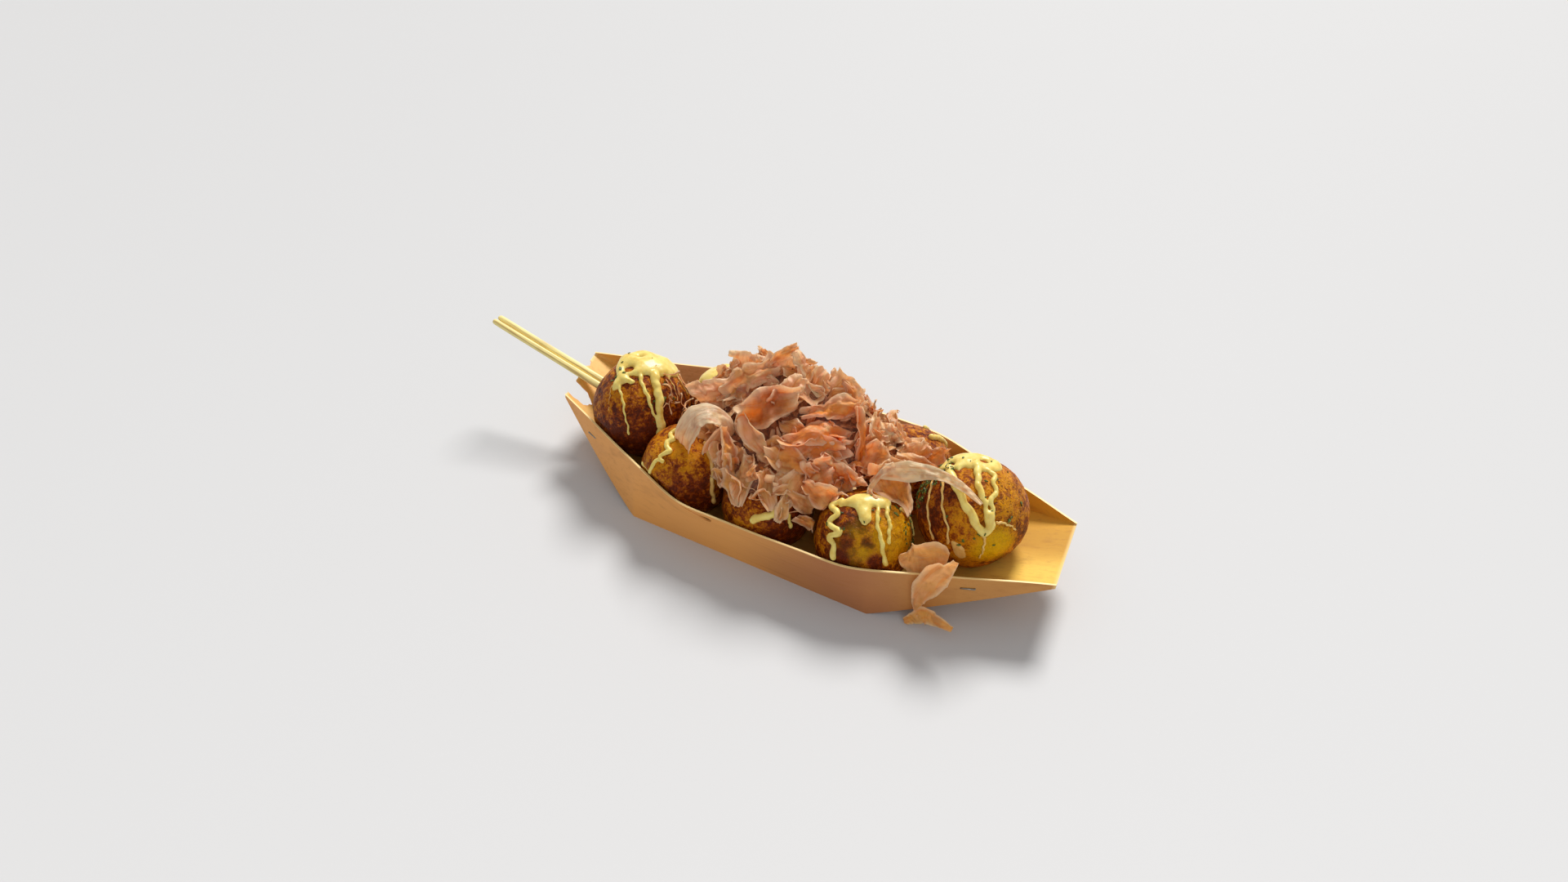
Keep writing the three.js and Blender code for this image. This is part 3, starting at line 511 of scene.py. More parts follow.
class GeometryGraph(Graph):
    """The nodes of one Geometry Nodes modifier, with its named inputs."""

    def __init__(self, name: str) -> None:
        """Makes a tree with a geometry going in and one coming out."""
        super().__init__(bpy.data.node_groups.new(name, "GeometryNodeTree"))
        self.keys: dict[str, str] = {}
        for way in ("INPUT", "OUTPUT"):
            self.tree.interface.new_socket("Geometry", in_out=way, socket_type="NodeSocketGeometry")
        self.entry = self.tree.nodes.new("NodeGroupInput")

    def input(self, name: str, kind: str) -> Wire:
        """Adds a named input, of a socket type such as Float."""
        socket = self.tree.interface.new_socket(name, in_out="INPUT", socket_type="NodeSocket" + kind)
        self.keys[name] = socket.identifier
        return Wire(self, self.entry.outputs[name])

    def stored(self, name: str) -> Wire:
        """A number that the mesh keeps at each point."""
        return self.node("GeometryNodeInputNamedAttribute", {"data_type": "FLOAT"}, {"Name": name})

    def chance(self, low: Wire | float, high: Wire | float, seed: Wire) -> Wire:
        """A random number for each point."""
        values = {2: low, 3: high, "Seed": seed}
        return self.node("FunctionNodeRandomValue", {"data_type": "FLOAT"}, values, 1)

    @property
    def shape(self) -> Wire:
        """The geometry that goes in."""
        return Wire(self, self.entry.outputs["Geometry"])

    def finish(self, shape: Wire, material: Wire) -> None:
        """Ends the tree in a shape, whose instances are made real and take the material."""
        real = self.node("GeometryNodeRealizeInstances", {}, {0: shape})
        dressed = self.node("GeometryNodeSetMaterial", {}, {"Geometry": real, "Material": material})
        output = self.tree.nodes.new("NodeGroupOutput")
        self.tree.links.new(dressed.socket, output.inputs["Geometry"])

    def run(self, made: Object, **values: object) -> Object:
        """Puts the tree on an object and makes the result a plain mesh.

        Args:
            made: The object.
            values: The values of the tree's named inputs.

        Returns:
            The same object.
        """
        modifier = made.modifiers.new(self.tree.name, "NODES")
        modifier.node_group = self.tree
        for name, value in values.items():
            modifier[self.keys[name]] = value
        return finished(made)


# ---- finishes


@dataclass(frozen=True)
class Finish:
    """What a piece is made of."""

    name: str

    def build(self, graph: ShaderGraph) -> Wire:
        """Makes its shader."""
        raise NotImplementedError

    def material(self) -> Material:
        """The material, made on its first use."""
        if self.name in bpy.data.materials:
            return bpy.data.materials[self.name]
        graph = ShaderGraph(self.name)
        return graph.surface(self.build(graph))


@dataclass(frozen=True)
class ShavedWood(Finish):
    """Thin shaved wood with long grain. Each point keeps if it is inside, and if on a cut edge."""

    name: str = "shaved_wood"
    pale: Colour = srgb(232, 162, 84)
    brown: Colour = srgb(176, 112, 66)
    honey: Colour = srgb(232, 180, 90)
    rosy: Colour = srgb(240, 198, 148)
    tan: Colour = srgb(206, 152, 54)
    golden: Colour = srgb(234, 174, 56)
    straw: Colour = srgb(247, 202, 92)
    gold: Colour = srgb(200, 140, 70)
    grain: Colour = srgb(166, 106, 50)
    stain: Colour = srgb(180, 120, 70)
    cut: Colour = srgb(250, 218, 150)

    def build(self, graph: ShaderGraph) -> Wire:
        """Makes its shader."""
        fibres = graph.noise(1, 4, 0.6, at=graph.mapped((14, 900, 900)))
        bands = graph.noise(1, 3, 0.5, 0.3, at=graph.mapped((7, 190, 190)))
        clouds = graph.noise(1, 2, 0.5, at=graph.mapped((14, 40, 40)))
        x = graph.part(0) + (clouds - 0.5) * 0.04
        y = graph.part(1) + (clouds - 0.5) * 0.02
        # Painted shade: brown darkens the outer wall from its middle to the right, where the wall stands in
        # shade.
        outside = graph.coats(
            self.pale, (x.between(-0.015, 0.045), self.brown), (x.between(0.05, 0.085), self.gold))
        # Painted light at the right end: straw lightens the front of the end panel, and golden lightens the
        # inside of the back wall, which lies in shade.
        end = graph.coats(
            self.tan, (y.between(0.01, 0.022), self.golden), (y.between(0.006, -0.012), self.straw))
        middle = graph.mix(y.between(0.02, 0.034), self.honey, self.rosy)
        inside = graph.mix(x.between(0.03, 0.075), middle, end)
        tone = graph.coats(
            graph.mix(graph.stored("inside"), outside, inside),
            (clouds.between(0.55, 0.75) * 0.3, self.stain),
            (bands.between(0.52, 0.8) * 0.38, self.grain),
            (fibres.between(0.5, 0.8) * 0.32, self.grain),
            # The cut borders are lightened: partly the pale cut wood, partly a painted highlight along the
            # rim.
            (graph.stored("cut") * 0.85, self.cut),
        )
        relief = graph.bumped(fibres * 0.7 + bands * 0.3, 0.1)
        return graph.skin(tone, 0.4 + fibres * 0.2, relief, Specular_IOR_Level=0.4)


@dataclass(frozen=True)
class Crust(Finish):
    """Browned batter. Each point keeps how browned it is, with some painted shade, how wet, how yellow and
    how speckled it is.
    """

    name: str = "browned_batter"
    burnt: Colour = srgb(76, 26, 4)
    dark: Colour = srgb(120, 46, 5)
    brown: Colour = srgb(156, 76, 5)
    golden: Colour = srgb(194, 112, 8)
    pale: Colour = srgb(214, 138, 8)
    speck: Colour = srgb(96, 40, 4)
    sauce: Colour = srgb(112, 34, 2)
    yolk: Colour = srgb(222, 172, 0)

    def build(self, graph: ShaderGraph) -> Wire:
        """Makes its shader."""
        mottles = graph.noise(5.0, 5, 0.62, 0.5)
        blots = graph.noise(2.2, 4, 0.6, 0.8)
        flecks = graph.noise(0.8, 3, 0.65)
        baked = graph.stored("baked") + (mottles.between(0.34, 0.66) - 0.5) * 0.56
        baked = baked + (blots.between(0.38, 0.62) - 0.5) * 0.44 + (flecks - 0.5) * 0.7
        tones = (self.burnt, self.dark, self.brown, self.golden, self.pale)
        speckles = graph.noise(1.5, 6, 0.72, 1.2)
        wet = graph.stored("wet") * (0.5 + mottles.between(0.35, 0.65) * 0.5)
        tone = graph.coats(
            graph.ramp(baked, *zip((0.1, 0.3, 0.5, 0.7, 0.92), tones)),
            (graph.stored("yellow") * (0.5 + blots * 0.9), self.yolk),
            (speckles.between(0.53, 0.6) * graph.stored("speckled"), self.speck),
            (wet * 0.6, self.sauce),
        )
        pits = graph.noise(0.55, 3, 0.6)
        wrinkles = graph.noise(2.6, 4, 0.7, 1.6)
        relief = graph.bumped(wrinkles, 0.9, graph.bumped(flecks * 0.6 + pits * 0.4, 0.34))
        rough = 0.46 - wet * 0.26 + (flecks - 0.5) * 0.35
        return graph.skin(tone, rough, relief, Specular_IOR_Level=0.13)


@dataclass(frozen=True)
class Mayonnaise(Finish):
    """Thick pale sauce with a soft gloss."""

    name: str = "pale_sauce"
    cream: Colour = srgb(236, 212, 120)
    deep: Colour = srgb(222, 188, 90)
    under: Point = (0.004, 0.003, 0.0015)

    def build(self, graph: ShaderGraph) -> Wire:
        """Makes its shader."""
        tone = graph.mix(graph.noise(3.5, 3).between(0.35, 0.7), self.cream, self.deep)
        relief = graph.bumped(graph.noise(2.2, 2), 0.15)
        return graph.skin(tone, 0.34, relief, Specular_IOR_Level=0.35, Subsurface_Weight=0.25,
                          Subsurface_Radius=self.under, Subsurface_Scale=1.0)


@dataclass(frozen=True)
class BonitoShavings(Finish):
    """Shaved dried fish. Each point keeps its flake's tone and how near it is to the border."""

    name: str = "bonito_shavings"
    tones: tuple[Colour, ...] = (
        srgb(252, 242, 212), srgb(255, 228, 170), srgb(252, 200, 162),
        srgb(236, 192, 132), srgb(255, 190, 88), srgb(206, 152, 128),
    )
    vein: Colour = srgb(204, 122, 62)
    dusk: Colour = srgb(164, 110, 84)
    rim: Colour = srgb(255, 242, 206)
    warm: Colour = srgb(255, 190, 96)
    amber: Colour = srgb(244, 148, 40)
    golden: Colour = srgb(246, 186, 80)
    cinnamon: Colour = srgb(190, 104, 44)
    pale_glow: Colour = srgb(255, 232, 200)
    warm_glow: Colour = srgb(255, 180, 84)
    golden_at: Point = (0.020, -0.013, 0.049)
    hollow_at: Point = (-0.010, -0.012, 0.058)
    through: float = 0.5

    def build(self, graph: ShaderGraph) -> Wire:
        """Makes its shader."""
        along = graph.node("ShaderNodeUVMap", {"uv_map": "UVMap"})
        streaks = graph.noise(1.3, 3, 0.5, 0.5, at=graph.drawn_out(along, 0.1))
        clouds = graph.noise(6, 2)
        place = graph.stored("tone") + (clouds.between(0.35, 0.65) - 0.5) * 0.22
        low = graph.part(2).between(0.056, 0.036) * 0.5
        inner = graph.apart(self.golden_at).between(0.027, 0.009) * clouds.between(0.25, 0.55) * 0.8
        shade = graph.apart(self.hollow_at).between(0.013, 0.005) * 0.7
        veins = streaks.between(0.46, 0.7) * 0.66
        tone = graph.coats(
            graph.ramp(place, *((k / 5, colour) for k, colour in enumerate(self.tones))),
            (graph.noise(4, 2).between(0.5, 0.75) * 0.45, self.warm),
            (low, self.golden),
            # Painted shade: mauve-brown patches spread at random, the colour of flakes that lie in shade.
            (graph.noise(8, 3, 0.6, 0.6).between(0.54, 0.68) * 0.5, self.dusk),
            (inner, self.amber),
            (shade, self.cinnamon),
            (veins, self.vein),
            # The flakes lighten towards their borders: partly their thin pale edges, partly a painted
            # highlight.
            (graph.stored("border").between(0.55, 1.0) * 0.7, self.rim),
        )
        crinkles = graph.noise(2.4, 3, 0.6, 1.0, at=graph.drawn_out(along, 0.45))
        relief = graph.bumped(crinkles, 0.8, graph.bumped(streaks, 0.3))
        warmth = (low * 0.5 + inner + shade + veins * 0.6 + graph.stored("tone") * 0.35).clamped()
        behind = graph.blend(warmth, graph.glow(self.pale_glow), graph.glow(self.warm_glow))
        front = graph.skin(tone, 0.42, relief, Specular_IOR_Level=0.45)
        return graph.blend(self.through, front, behind)


@dataclass(frozen=True)
class HeapBed(Finish):
    """The inside of the heap, where layers of shavings lie on each other: its dark browns are painted shade
    between the flakes.
    """

    name: str = "heap_bed"
    deep: Colour = srgb(84, 40, 18)
    lit: Colour = srgb(176, 108, 62)

    def build(self, graph: ShaderGraph) -> Wire:
        """Makes its shader."""
        layers = graph.noise(1, 4, 0.6, 1.2, at=graph.mapped((180, 180, 520), (12, 20, 0)))
        # Painted shade: deep and lit browns, far darker than the shavings, show as dark gaps between the
        # flakes.
        tone = graph.mix(layers.between(0.35, 0.7), self.deep, self.lit)
        return graph.skin(tone, 0.65, graph.bumped(layers, 0.9))


@dataclass(frozen=True)
class Bamboo(Finish):
    """Split and rounded bamboo, with fibres along the pick."""

    name: str = "split_bamboo"
    pale: Colour = srgb(244, 226, 150)
    fibre: Colour = srgb(176, 128, 58)
    node_mark: Colour = srgb(150, 104, 48)

    def build(self, graph: ShaderGraph) -> Wire:
        """Makes its shader."""
        fibres = graph.noise(1, 3, 0.6, at=graph.mapped((30, 1100, 1100), (0, 13.4, -2.7)))
        clouds = graph.noise(16, 3)
        tone = graph.coats(self.pale, (fibres.between(0.45, 0.72) * 0.85, self.fibre),
                           (clouds.between(0.55, 0.8) * 0.4, self.node_mark))
        return graph.skin(tone, 0.45, graph.bumped(fibres, 0.08), Specular_IOR_Level=0.4)


@dataclass(frozen=True)
class GreenLaver(Finish):
    """Dried green seaweed flecks."""

    name: str = "green_laver"
    dark: Colour = srgb(44, 58, 10)
    light: Colour = srgb(100, 116, 30)

    def build(self, graph: ShaderGraph) -> Wire:
        """Makes its shader."""
        tone = graph.mix(graph.noise(0.8, 2).between(0.35, 0.65), self.dark, self.light)
        return graph.skin(tone, 0.6, graph.bumped(graph.noise(0.4, 2), 0.08))


@dataclass(frozen=True)
class Steel(Finish):
    """Thin bright wire."""

    name: str = "wire"
    bright: Colour = srgb(176, 172, 164)
    dull: Colour = srgb(120, 116, 108)

    def build(self, graph: ShaderGraph) -> Wire:
        """Makes its shader."""
        tone = graph.mix(graph.noise(0.6, 2), self.bright, self.dull)
        return graph.skin(tone, 0.35, Metallic=1.0)


@dataclass(frozen=True)
class StudioFloor(Finish):
    """The plain pale floor under the tray."""

    name: str = "studio_floor"
    pale: Colour = srgb(200, 200, 201)
    grey: Colour = srgb(196, 196, 196)

    def build(self, graph: ShaderGraph) -> Wire:
        """Makes its shader."""
        return graph.skin(graph.mix(graph.noise(60, 2) * 0.1, self.pale, self.grey), 0.8)


# ---- tray


class Side(Enum):
    """The two long sides of the tray, with the sign of y on each."""

    FRONT = -1
    BACK = 1


@dataclass(frozen=True)
class End:
    """One folded end of the tray: its two tips, its height and how its panel rises."""

    corner: float
    front: Pair
    back: Pair
    height: float
    hollow: float

    def tip(self, side: Side) -> Pair:
        """The tip on one side."""
        return self.front if side is Side.FRONT else self.back


@dataclass
class Tray:
    """The boat: one sheet of wood, flat in the middle, its ends folded up to two tips each."""

    sheet: float = 1.0
    half_left: float = 43.0
    half_right: float = 45.5
    left: End = End(-60, (-114, -16), (-122, 18.5), 28.5, 1.3)
    right: End = End(54, (119.6, -18.7), (116.5, 19.5), 22.8, 1.12)
    rim_half: float = 48.7
    rim_height: float = 24.0
    rim_taper: float = 0.4
    rim_blend: float = 1.6
    lip: float = 0.7
    rim_ripple: float = 0.35
    wall_bow: float = 0.7
    edge_from: float = 0.975
    inner_face: float = 0.85
    mouth: float = 2.0
    crisp: float = 35.0
    tears: tuple[tuple[Pair, Pair, float], ...] = (
        ((-114, -8.4), (8.6, 4.4), -0.15), ((-122.5, 9.5), (3.4, 3.2), 0.2),
    )
    split: tuple[Pair, ...] = (
        (-31.5, 23.2), (-24, 21.5), (-18.5, 19.6), (-16.6, 19.7), (-15.6, 21.1), (-17, 21.9), (-24, 22.3),
    )
    stations: tuple[int, int, int] = (44, 84, 44)
    wall_cells: int = 10
    floor_cells: int = 34
    wood: Finish = ShavedWood()

    def end_at(self, x: Array, part: str) -> Array:
        """A size of the end on each point's side of the middle."""
        return np.where(np.asarray(x) < 0, getattr(self.left, part), getattr(self.right, part))

    def tip_at(self, side: Side, x: Array) -> Arrays:
        """The tip, as x and y, on each point's side of the middle."""
        places = zip(self.left.tip(side), self.right.tip(side))
        return tuple(np.where(np.asarray(x) < 0, left, right) for left, right in places)

    def panel(self, x: Array, tip_x: Array) -> Arrays:
        """How far out on an end's panel each point is, from 0 to 1, and the panel's height there."""
        corner = self.end_at(x, "corner")
        out = np.clip((x - corner) / (tip_x - corner), 0, 1)
        return out, self.end_at(x, "height") * out ** self.end_at(x, "hollow")

    def fold(self, side: Side, x: Array) -> Arrays:
        """The fold between the floor or an end's panel and a wall.

        Args:
            side: The wall's side.
            x: The lengths to read it at.

        Returns:
            Its y and its height.
        """
        tip_x, tip_y = self.tip_at(side, x)
        along = np.clip((x - self.left.corner) / (self.right.corner - self.left.corner), 0, 1)
        out, height = self.panel(x, tip_x)
        return lerp(side.value * lerp(self.half_left, self.half_right, along), tip_y, out), height

    def rim(self, side: Side, x: Array) -> Arrays:
        """The top edge of a wall.

        Args:
            side: The wall's side.
            x: The lengths to read it at.

        Returns:
            Its y and its height.
        """
        tip_x, tip_y = self.tip_at(side, x)
        narrowed = abs(tip_y) + self.rim_taper * abs(tip_x - x)
        y = soft_min(np.full(np.shape(x), self.rim_half), narrowed, self.rim_blend)
        edge = self.end_at(x, "height") + self.sheet + self.lip
        return side.value * y, lerp(self.rim_height, edge, (x / tip_x) ** 2)

    def floor_height(self, points: Array) -> Array:
        """Height of the sheet's inner face: the floor or an end's panel.

        Args:
            points: Where to read it.

        Returns:
            One height for each point.
        """
        x, y = points[:, 0], points[:, 1]
        front_x, front_y = self.tip_at(Side.FRONT, x)
        back_x, back_y = self.tip_at(Side.BACK, x)
        tip_x = lerp(front_x, back_x, np.clip((y - front_y) / (back_y - front_y), 0, 1))
        return self.sheet + self.panel(x, tip_x)[1]

    def half_width(self, points: Array) -> Array:
        """Half width inside the walls, which opens above the rim.

        Args:
            points: Where to read it.

        Returns:
            One half width for each point.
        """
        x, y, z = points.T
        halves = []
        for side in Side:
            fold_y, fold_z = self.fold(side, x)
            rim_y, rim_z = self.rim(side, x)
            rise = np.clip((z - fold_z) / (rim_z - fold_z), 0, 1)
            over = np.maximum(0, z - rim_z - self.mouth)
            halves.append(abs(lerp(fold_y, rim_y, rise)) - self.sheet + over)
        return np.where(y < 0, *halves)

    def lengths(self, side: Side) -> Array:
        """Lengths of the sheet's cross sections on one side."""
        stops = [self.left.tip(side)[0], self.left.corner, self.right.corner, self.right.tip(side)[0]]
        parts = [np.linspace(a, b, n + 1)[:-1] for a, b, n in zip(stops, stops[1:], self.stations)]
        return np.concatenate([*parts, [stops[-1]]])

    def wall(self, side: Side, inside: float) -> Array:
        """One face of a wall as a grid of points.

        Args:
            side: The wall's side.
            inside: How far the face is inside the sheet's outer face.

        Returns:
            The points, from the fold up to the rim in each cross section.
        """
        x = self.lengths(side)
        (low_y, low_z), (top_y, top_z) = self.fold(side, x), self.rim(side, x)
        low_y, top_y = low_y - side.value * inside, top_y - side.value * inside
        top_z = top_z + self.rim_ripple * np.sin(x * 0.11 + side.value) * np.sin(x * 0.043)
        rise = np.append(np.linspace(0, self.edge_from, self.wall_cells), 1)[None, :]
        wall_z = lerp(low_z[:, None] + inside, top_z[:, None], rise)
        bow = self.wall_bow * np.sin(np.pi * rise) * np.sin(x * 0.05 + 1.3 * side.value)[:, None]
        wall_y = lerp(low_y[:, None], top_y[:, None], rise) + bow * side.value
        return np.stack([np.broadcast_to(x[:, None], wall_y.shape), wall_y, wall_z], axis=-1)

    def layer(self, inside: float) -> Array:
        """One face of the sheet as a grid of points, this far inside its outer face."""
        front, back = (self.wall(side, inside) for side in Side)
        share = np.linspace(0, 1, self.floor_cells + 1)[None, 1:-1, None]
        return np.concatenate([front[:, ::-1], lerp(front[:, :1], back[:, :1], share), back], axis=1)

    def cutter(self, name: str, outline: Array, low: Point, high: Point) -> Object:
        """A prism that cuts the sheet.

        Args:
            name: Its name.
            outline: The outline that is swept.
            low: The shift that the sweep starts from.
            high: The shift that it goes to.

        Returns:
            The prism.
        """
        count = len(outline)
        faces = [tuple(range(count))[::-1], tuple(range(count, 2 * count)), *tube_faces(2, count)]
        made = mesh_from(name, np.vstack([outline + np.array(low), outline + np.array(high)]), faces)
        face_outwards(made)
        return made

    def torn(self, at: Pair, radii: Pair, turn: float) -> Object:
        """A ragged oval that is torn out of the sheet from above.

        Args:
            at: Its middle.
            radii: Its two radii.
            turn: How far it is turned, in radians.

        Returns:
            Its cutter.
        """
        angles = np.linspace(0, 2 * np.pi, 40, endpoint=False)
        ragged = 1 + 0.05 * np.sin(7 * angles + at[0]) + 0.035 * np.sin(13 * angles + at[1])
        x, y = radii[0] * ragged * np.cos(angles), radii[1] * ragged * np.sin(angles)
        turned_x = at[0] + x * cos(turn) - y * sin(turn)
        turned_y = at[1] + x * sin(turn) + y * cos(turn)
        outline = np.stack([turned_x, turned_y, np.zeros_like(x)], axis=1)
        return self.cutter("tear", outline, (0, 0, -1), (0, 0, 2 * self.left.height))

    def split_wall(self) -> Object:
        """The split under the front rim, which widens along the grain to a small hole."""
        outline = np.array([(x, -self.rim_half, z) for x, z in self.split])
        return self.cutter("split", outline, (0, -4, 0), (0, 4, 0))

    def build(self) -> None:
        """Makes the sheet, tears its left end and splits its front wall."""
        outer, inner = self.layer(0.0), self.layer(self.sheet * self.inner_face)
        rows, columns = outer.shape[:2]
        points = np.vstack([outer.reshape(-1, 3), inner.reshape(-1, 3)])
        made = mesh_from("tray_sheet", points, sheet_faces(rows, columns))
        border = np.zeros((rows, columns))
        border[[0, -1]] = border[:, [0, -1]] = 1
        store_values(made.data, "cut", np.tile(border.ravel(), 2))
        store_values(made.data, "inside", np.repeat([0, 1], rows * columns))
        face_outwards(made)
        cutters = [*(self.torn(*tear) for tear in self.tears), self.split_wall()]
        for cutter in cutters:
            cut = made.modifiers.new(cutter.name, "BOOLEAN")
            cut.operation, cut.solver, cut.object = "DIFFERENCE", "MANIFOLD", cutter
        finished(made)
        for cutter in cutters:
            bpy.data.objects.remove(cutter)
        sharpen(made, self.crisp)
        dress(made, self.wood, "tray_wood", "tray")

    def wall_point(self, side: Side, x: float, z: float) -> Array:
        """A point on the outer face of a wall, at a length and a height."""
        (low_y, low_z), (top_y, top_z) = self.fold(side, np.array(x)), self.rim(side, np.array(x))
        return np.array([x, lerp(low_y, top_y, (z - low_z) / (top_z - low_z)), z], float)


@dataclass
class Staples:
    """The wire staples that hold the tray's folded ends."""

    tray: Tray
    span: float = 5.0
    wire: float = 0.35
    at: tuple[tuple[Side, float, float], ...] = (
        (Side.FRONT, 89.5, 19.0), (Side.BACK, 92.0, 20.0),
        (Side.FRONT, -92.0, 21.5), (Side.BACK, -95.0, 22.0),
    )

    def tree(self) -> GeometryGraph:
        """Makes the nodes that sweep a round wire along each staple's line.

        Returns:
            The tree.
        """
        graph = GeometryGraph("wire_along_line")
        thick = graph.input("Radius", "Float")
        material = graph.input("Material", "Material")
        line = graph.node("GeometryNodeMeshToCurve", {}, {0: graph.shape})
        ring = graph.node("GeometryNodeCurvePrimitiveCircle", {}, {"Resolution": 8, "Radius": thick})
        values = {"Curve": line, "Profile Curve": ring, "Fill Caps": True}
        graph.finish(graph.node("GeometryNodeCurveToMesh", {}, values), material)
        return graph

    def build(self) -> None:
        """Makes all staples as one piece."""
        points: list[Array] = []
        edges: list[tuple[int, int]] = []
        for side, x, z in self.at:
            out = np.array([0, side.value * 1.0, 0])
            ends = [self.tray.wall_point(side, x + k * self.span / 2, z) for k in (-1, 1)]
            crown = [end + out * self.wire for end in ends]
            line = [ends[0] - out, crown[0], crown[1], ends[1] - out]
            edges += [(len(points) + k, len(points) + k + 1) for k in range(3)]
            points += line
        made = mesh_from("staples", np.array(points), [], edges)
        steel = Steel()
        self.tree().run(made, Radius=self.wire * MM, Material=steel.material())
        dress(made, steel, "tray_wood")


# ---- balls


@dataclass(frozen=True)
class Stroke:
    """A line of sauce over a crust: its directions from the ball's centre and its width."""

    through: tuple[Pair, ...]
    width: Pair


@dataclass(frozen=True)
class Smear:
    """A spread of thick sauce: its outline round a ball, its depth, and its holes with their radii."""

    outline: tuple[Pair, ...]
    deep: float
    holes: tuple[Point, ...] = ()


@dataclass(frozen=True)
class Patch:
    """A stretch of crust that is darker (below 0) or paler (above 0), or wet with sauce; most stand for
    browning, a few for painted shade.
    """

    at: Pair
    reach: float
    baked: float = 0.0
    wet: float = 0.0
    yellow: float = 0.0
    speckled: float = 0.0


@dataclass(frozen=True)
class Spot:
    """Where something fine is strewn on a ball: its kind, its direction, its reach and its share."""

    kind: str
    at: Pair
    reach: float
    share: float = 1.0


@dataclass(frozen=True)
class Ball:
    """One ball: where it sits, its size and what is on it."""

    name: str
    at: Point
    radius: float
    seed: float
    smears: tuple[Smear, ...] = ()
    strokes: tuple[Stroke, ...] = ()
    patches: tuple[Patch, ...] = ()
    threads: tuple[Stroke, ...] = ()
    veils: tuple[Smear, ...] = ()
    baked: float = 0.5
    strewn: tuple[Spot, ...] = ()

    def lumps(self, out: Array) -> Array:
        """Slow lumps of the crust, as a factor on its radius."""
        x, y, z = out[..., 0], out[..., 1], out[..., 2]
        return (1 + 0.012 * np.sin(3.1 * x + 2.3 * y + self.seed)
                + 0.010 * np.sin(4.3 * y - 3.7 * z + 2.1 * self.seed)
                + 0.008 * np.sin(5.9 * z + 4.7 * x + 3.3 * self.seed))

    def surface(self, out: Array, lift: Array | float = 0.0) -> Array:
        """Points on the crust, or above it, in directions from the centre."""
        reach = self.radius * self.lumps(out) + lift
        return np.array(self.at) + out * np.asarray(reach)[..., None]


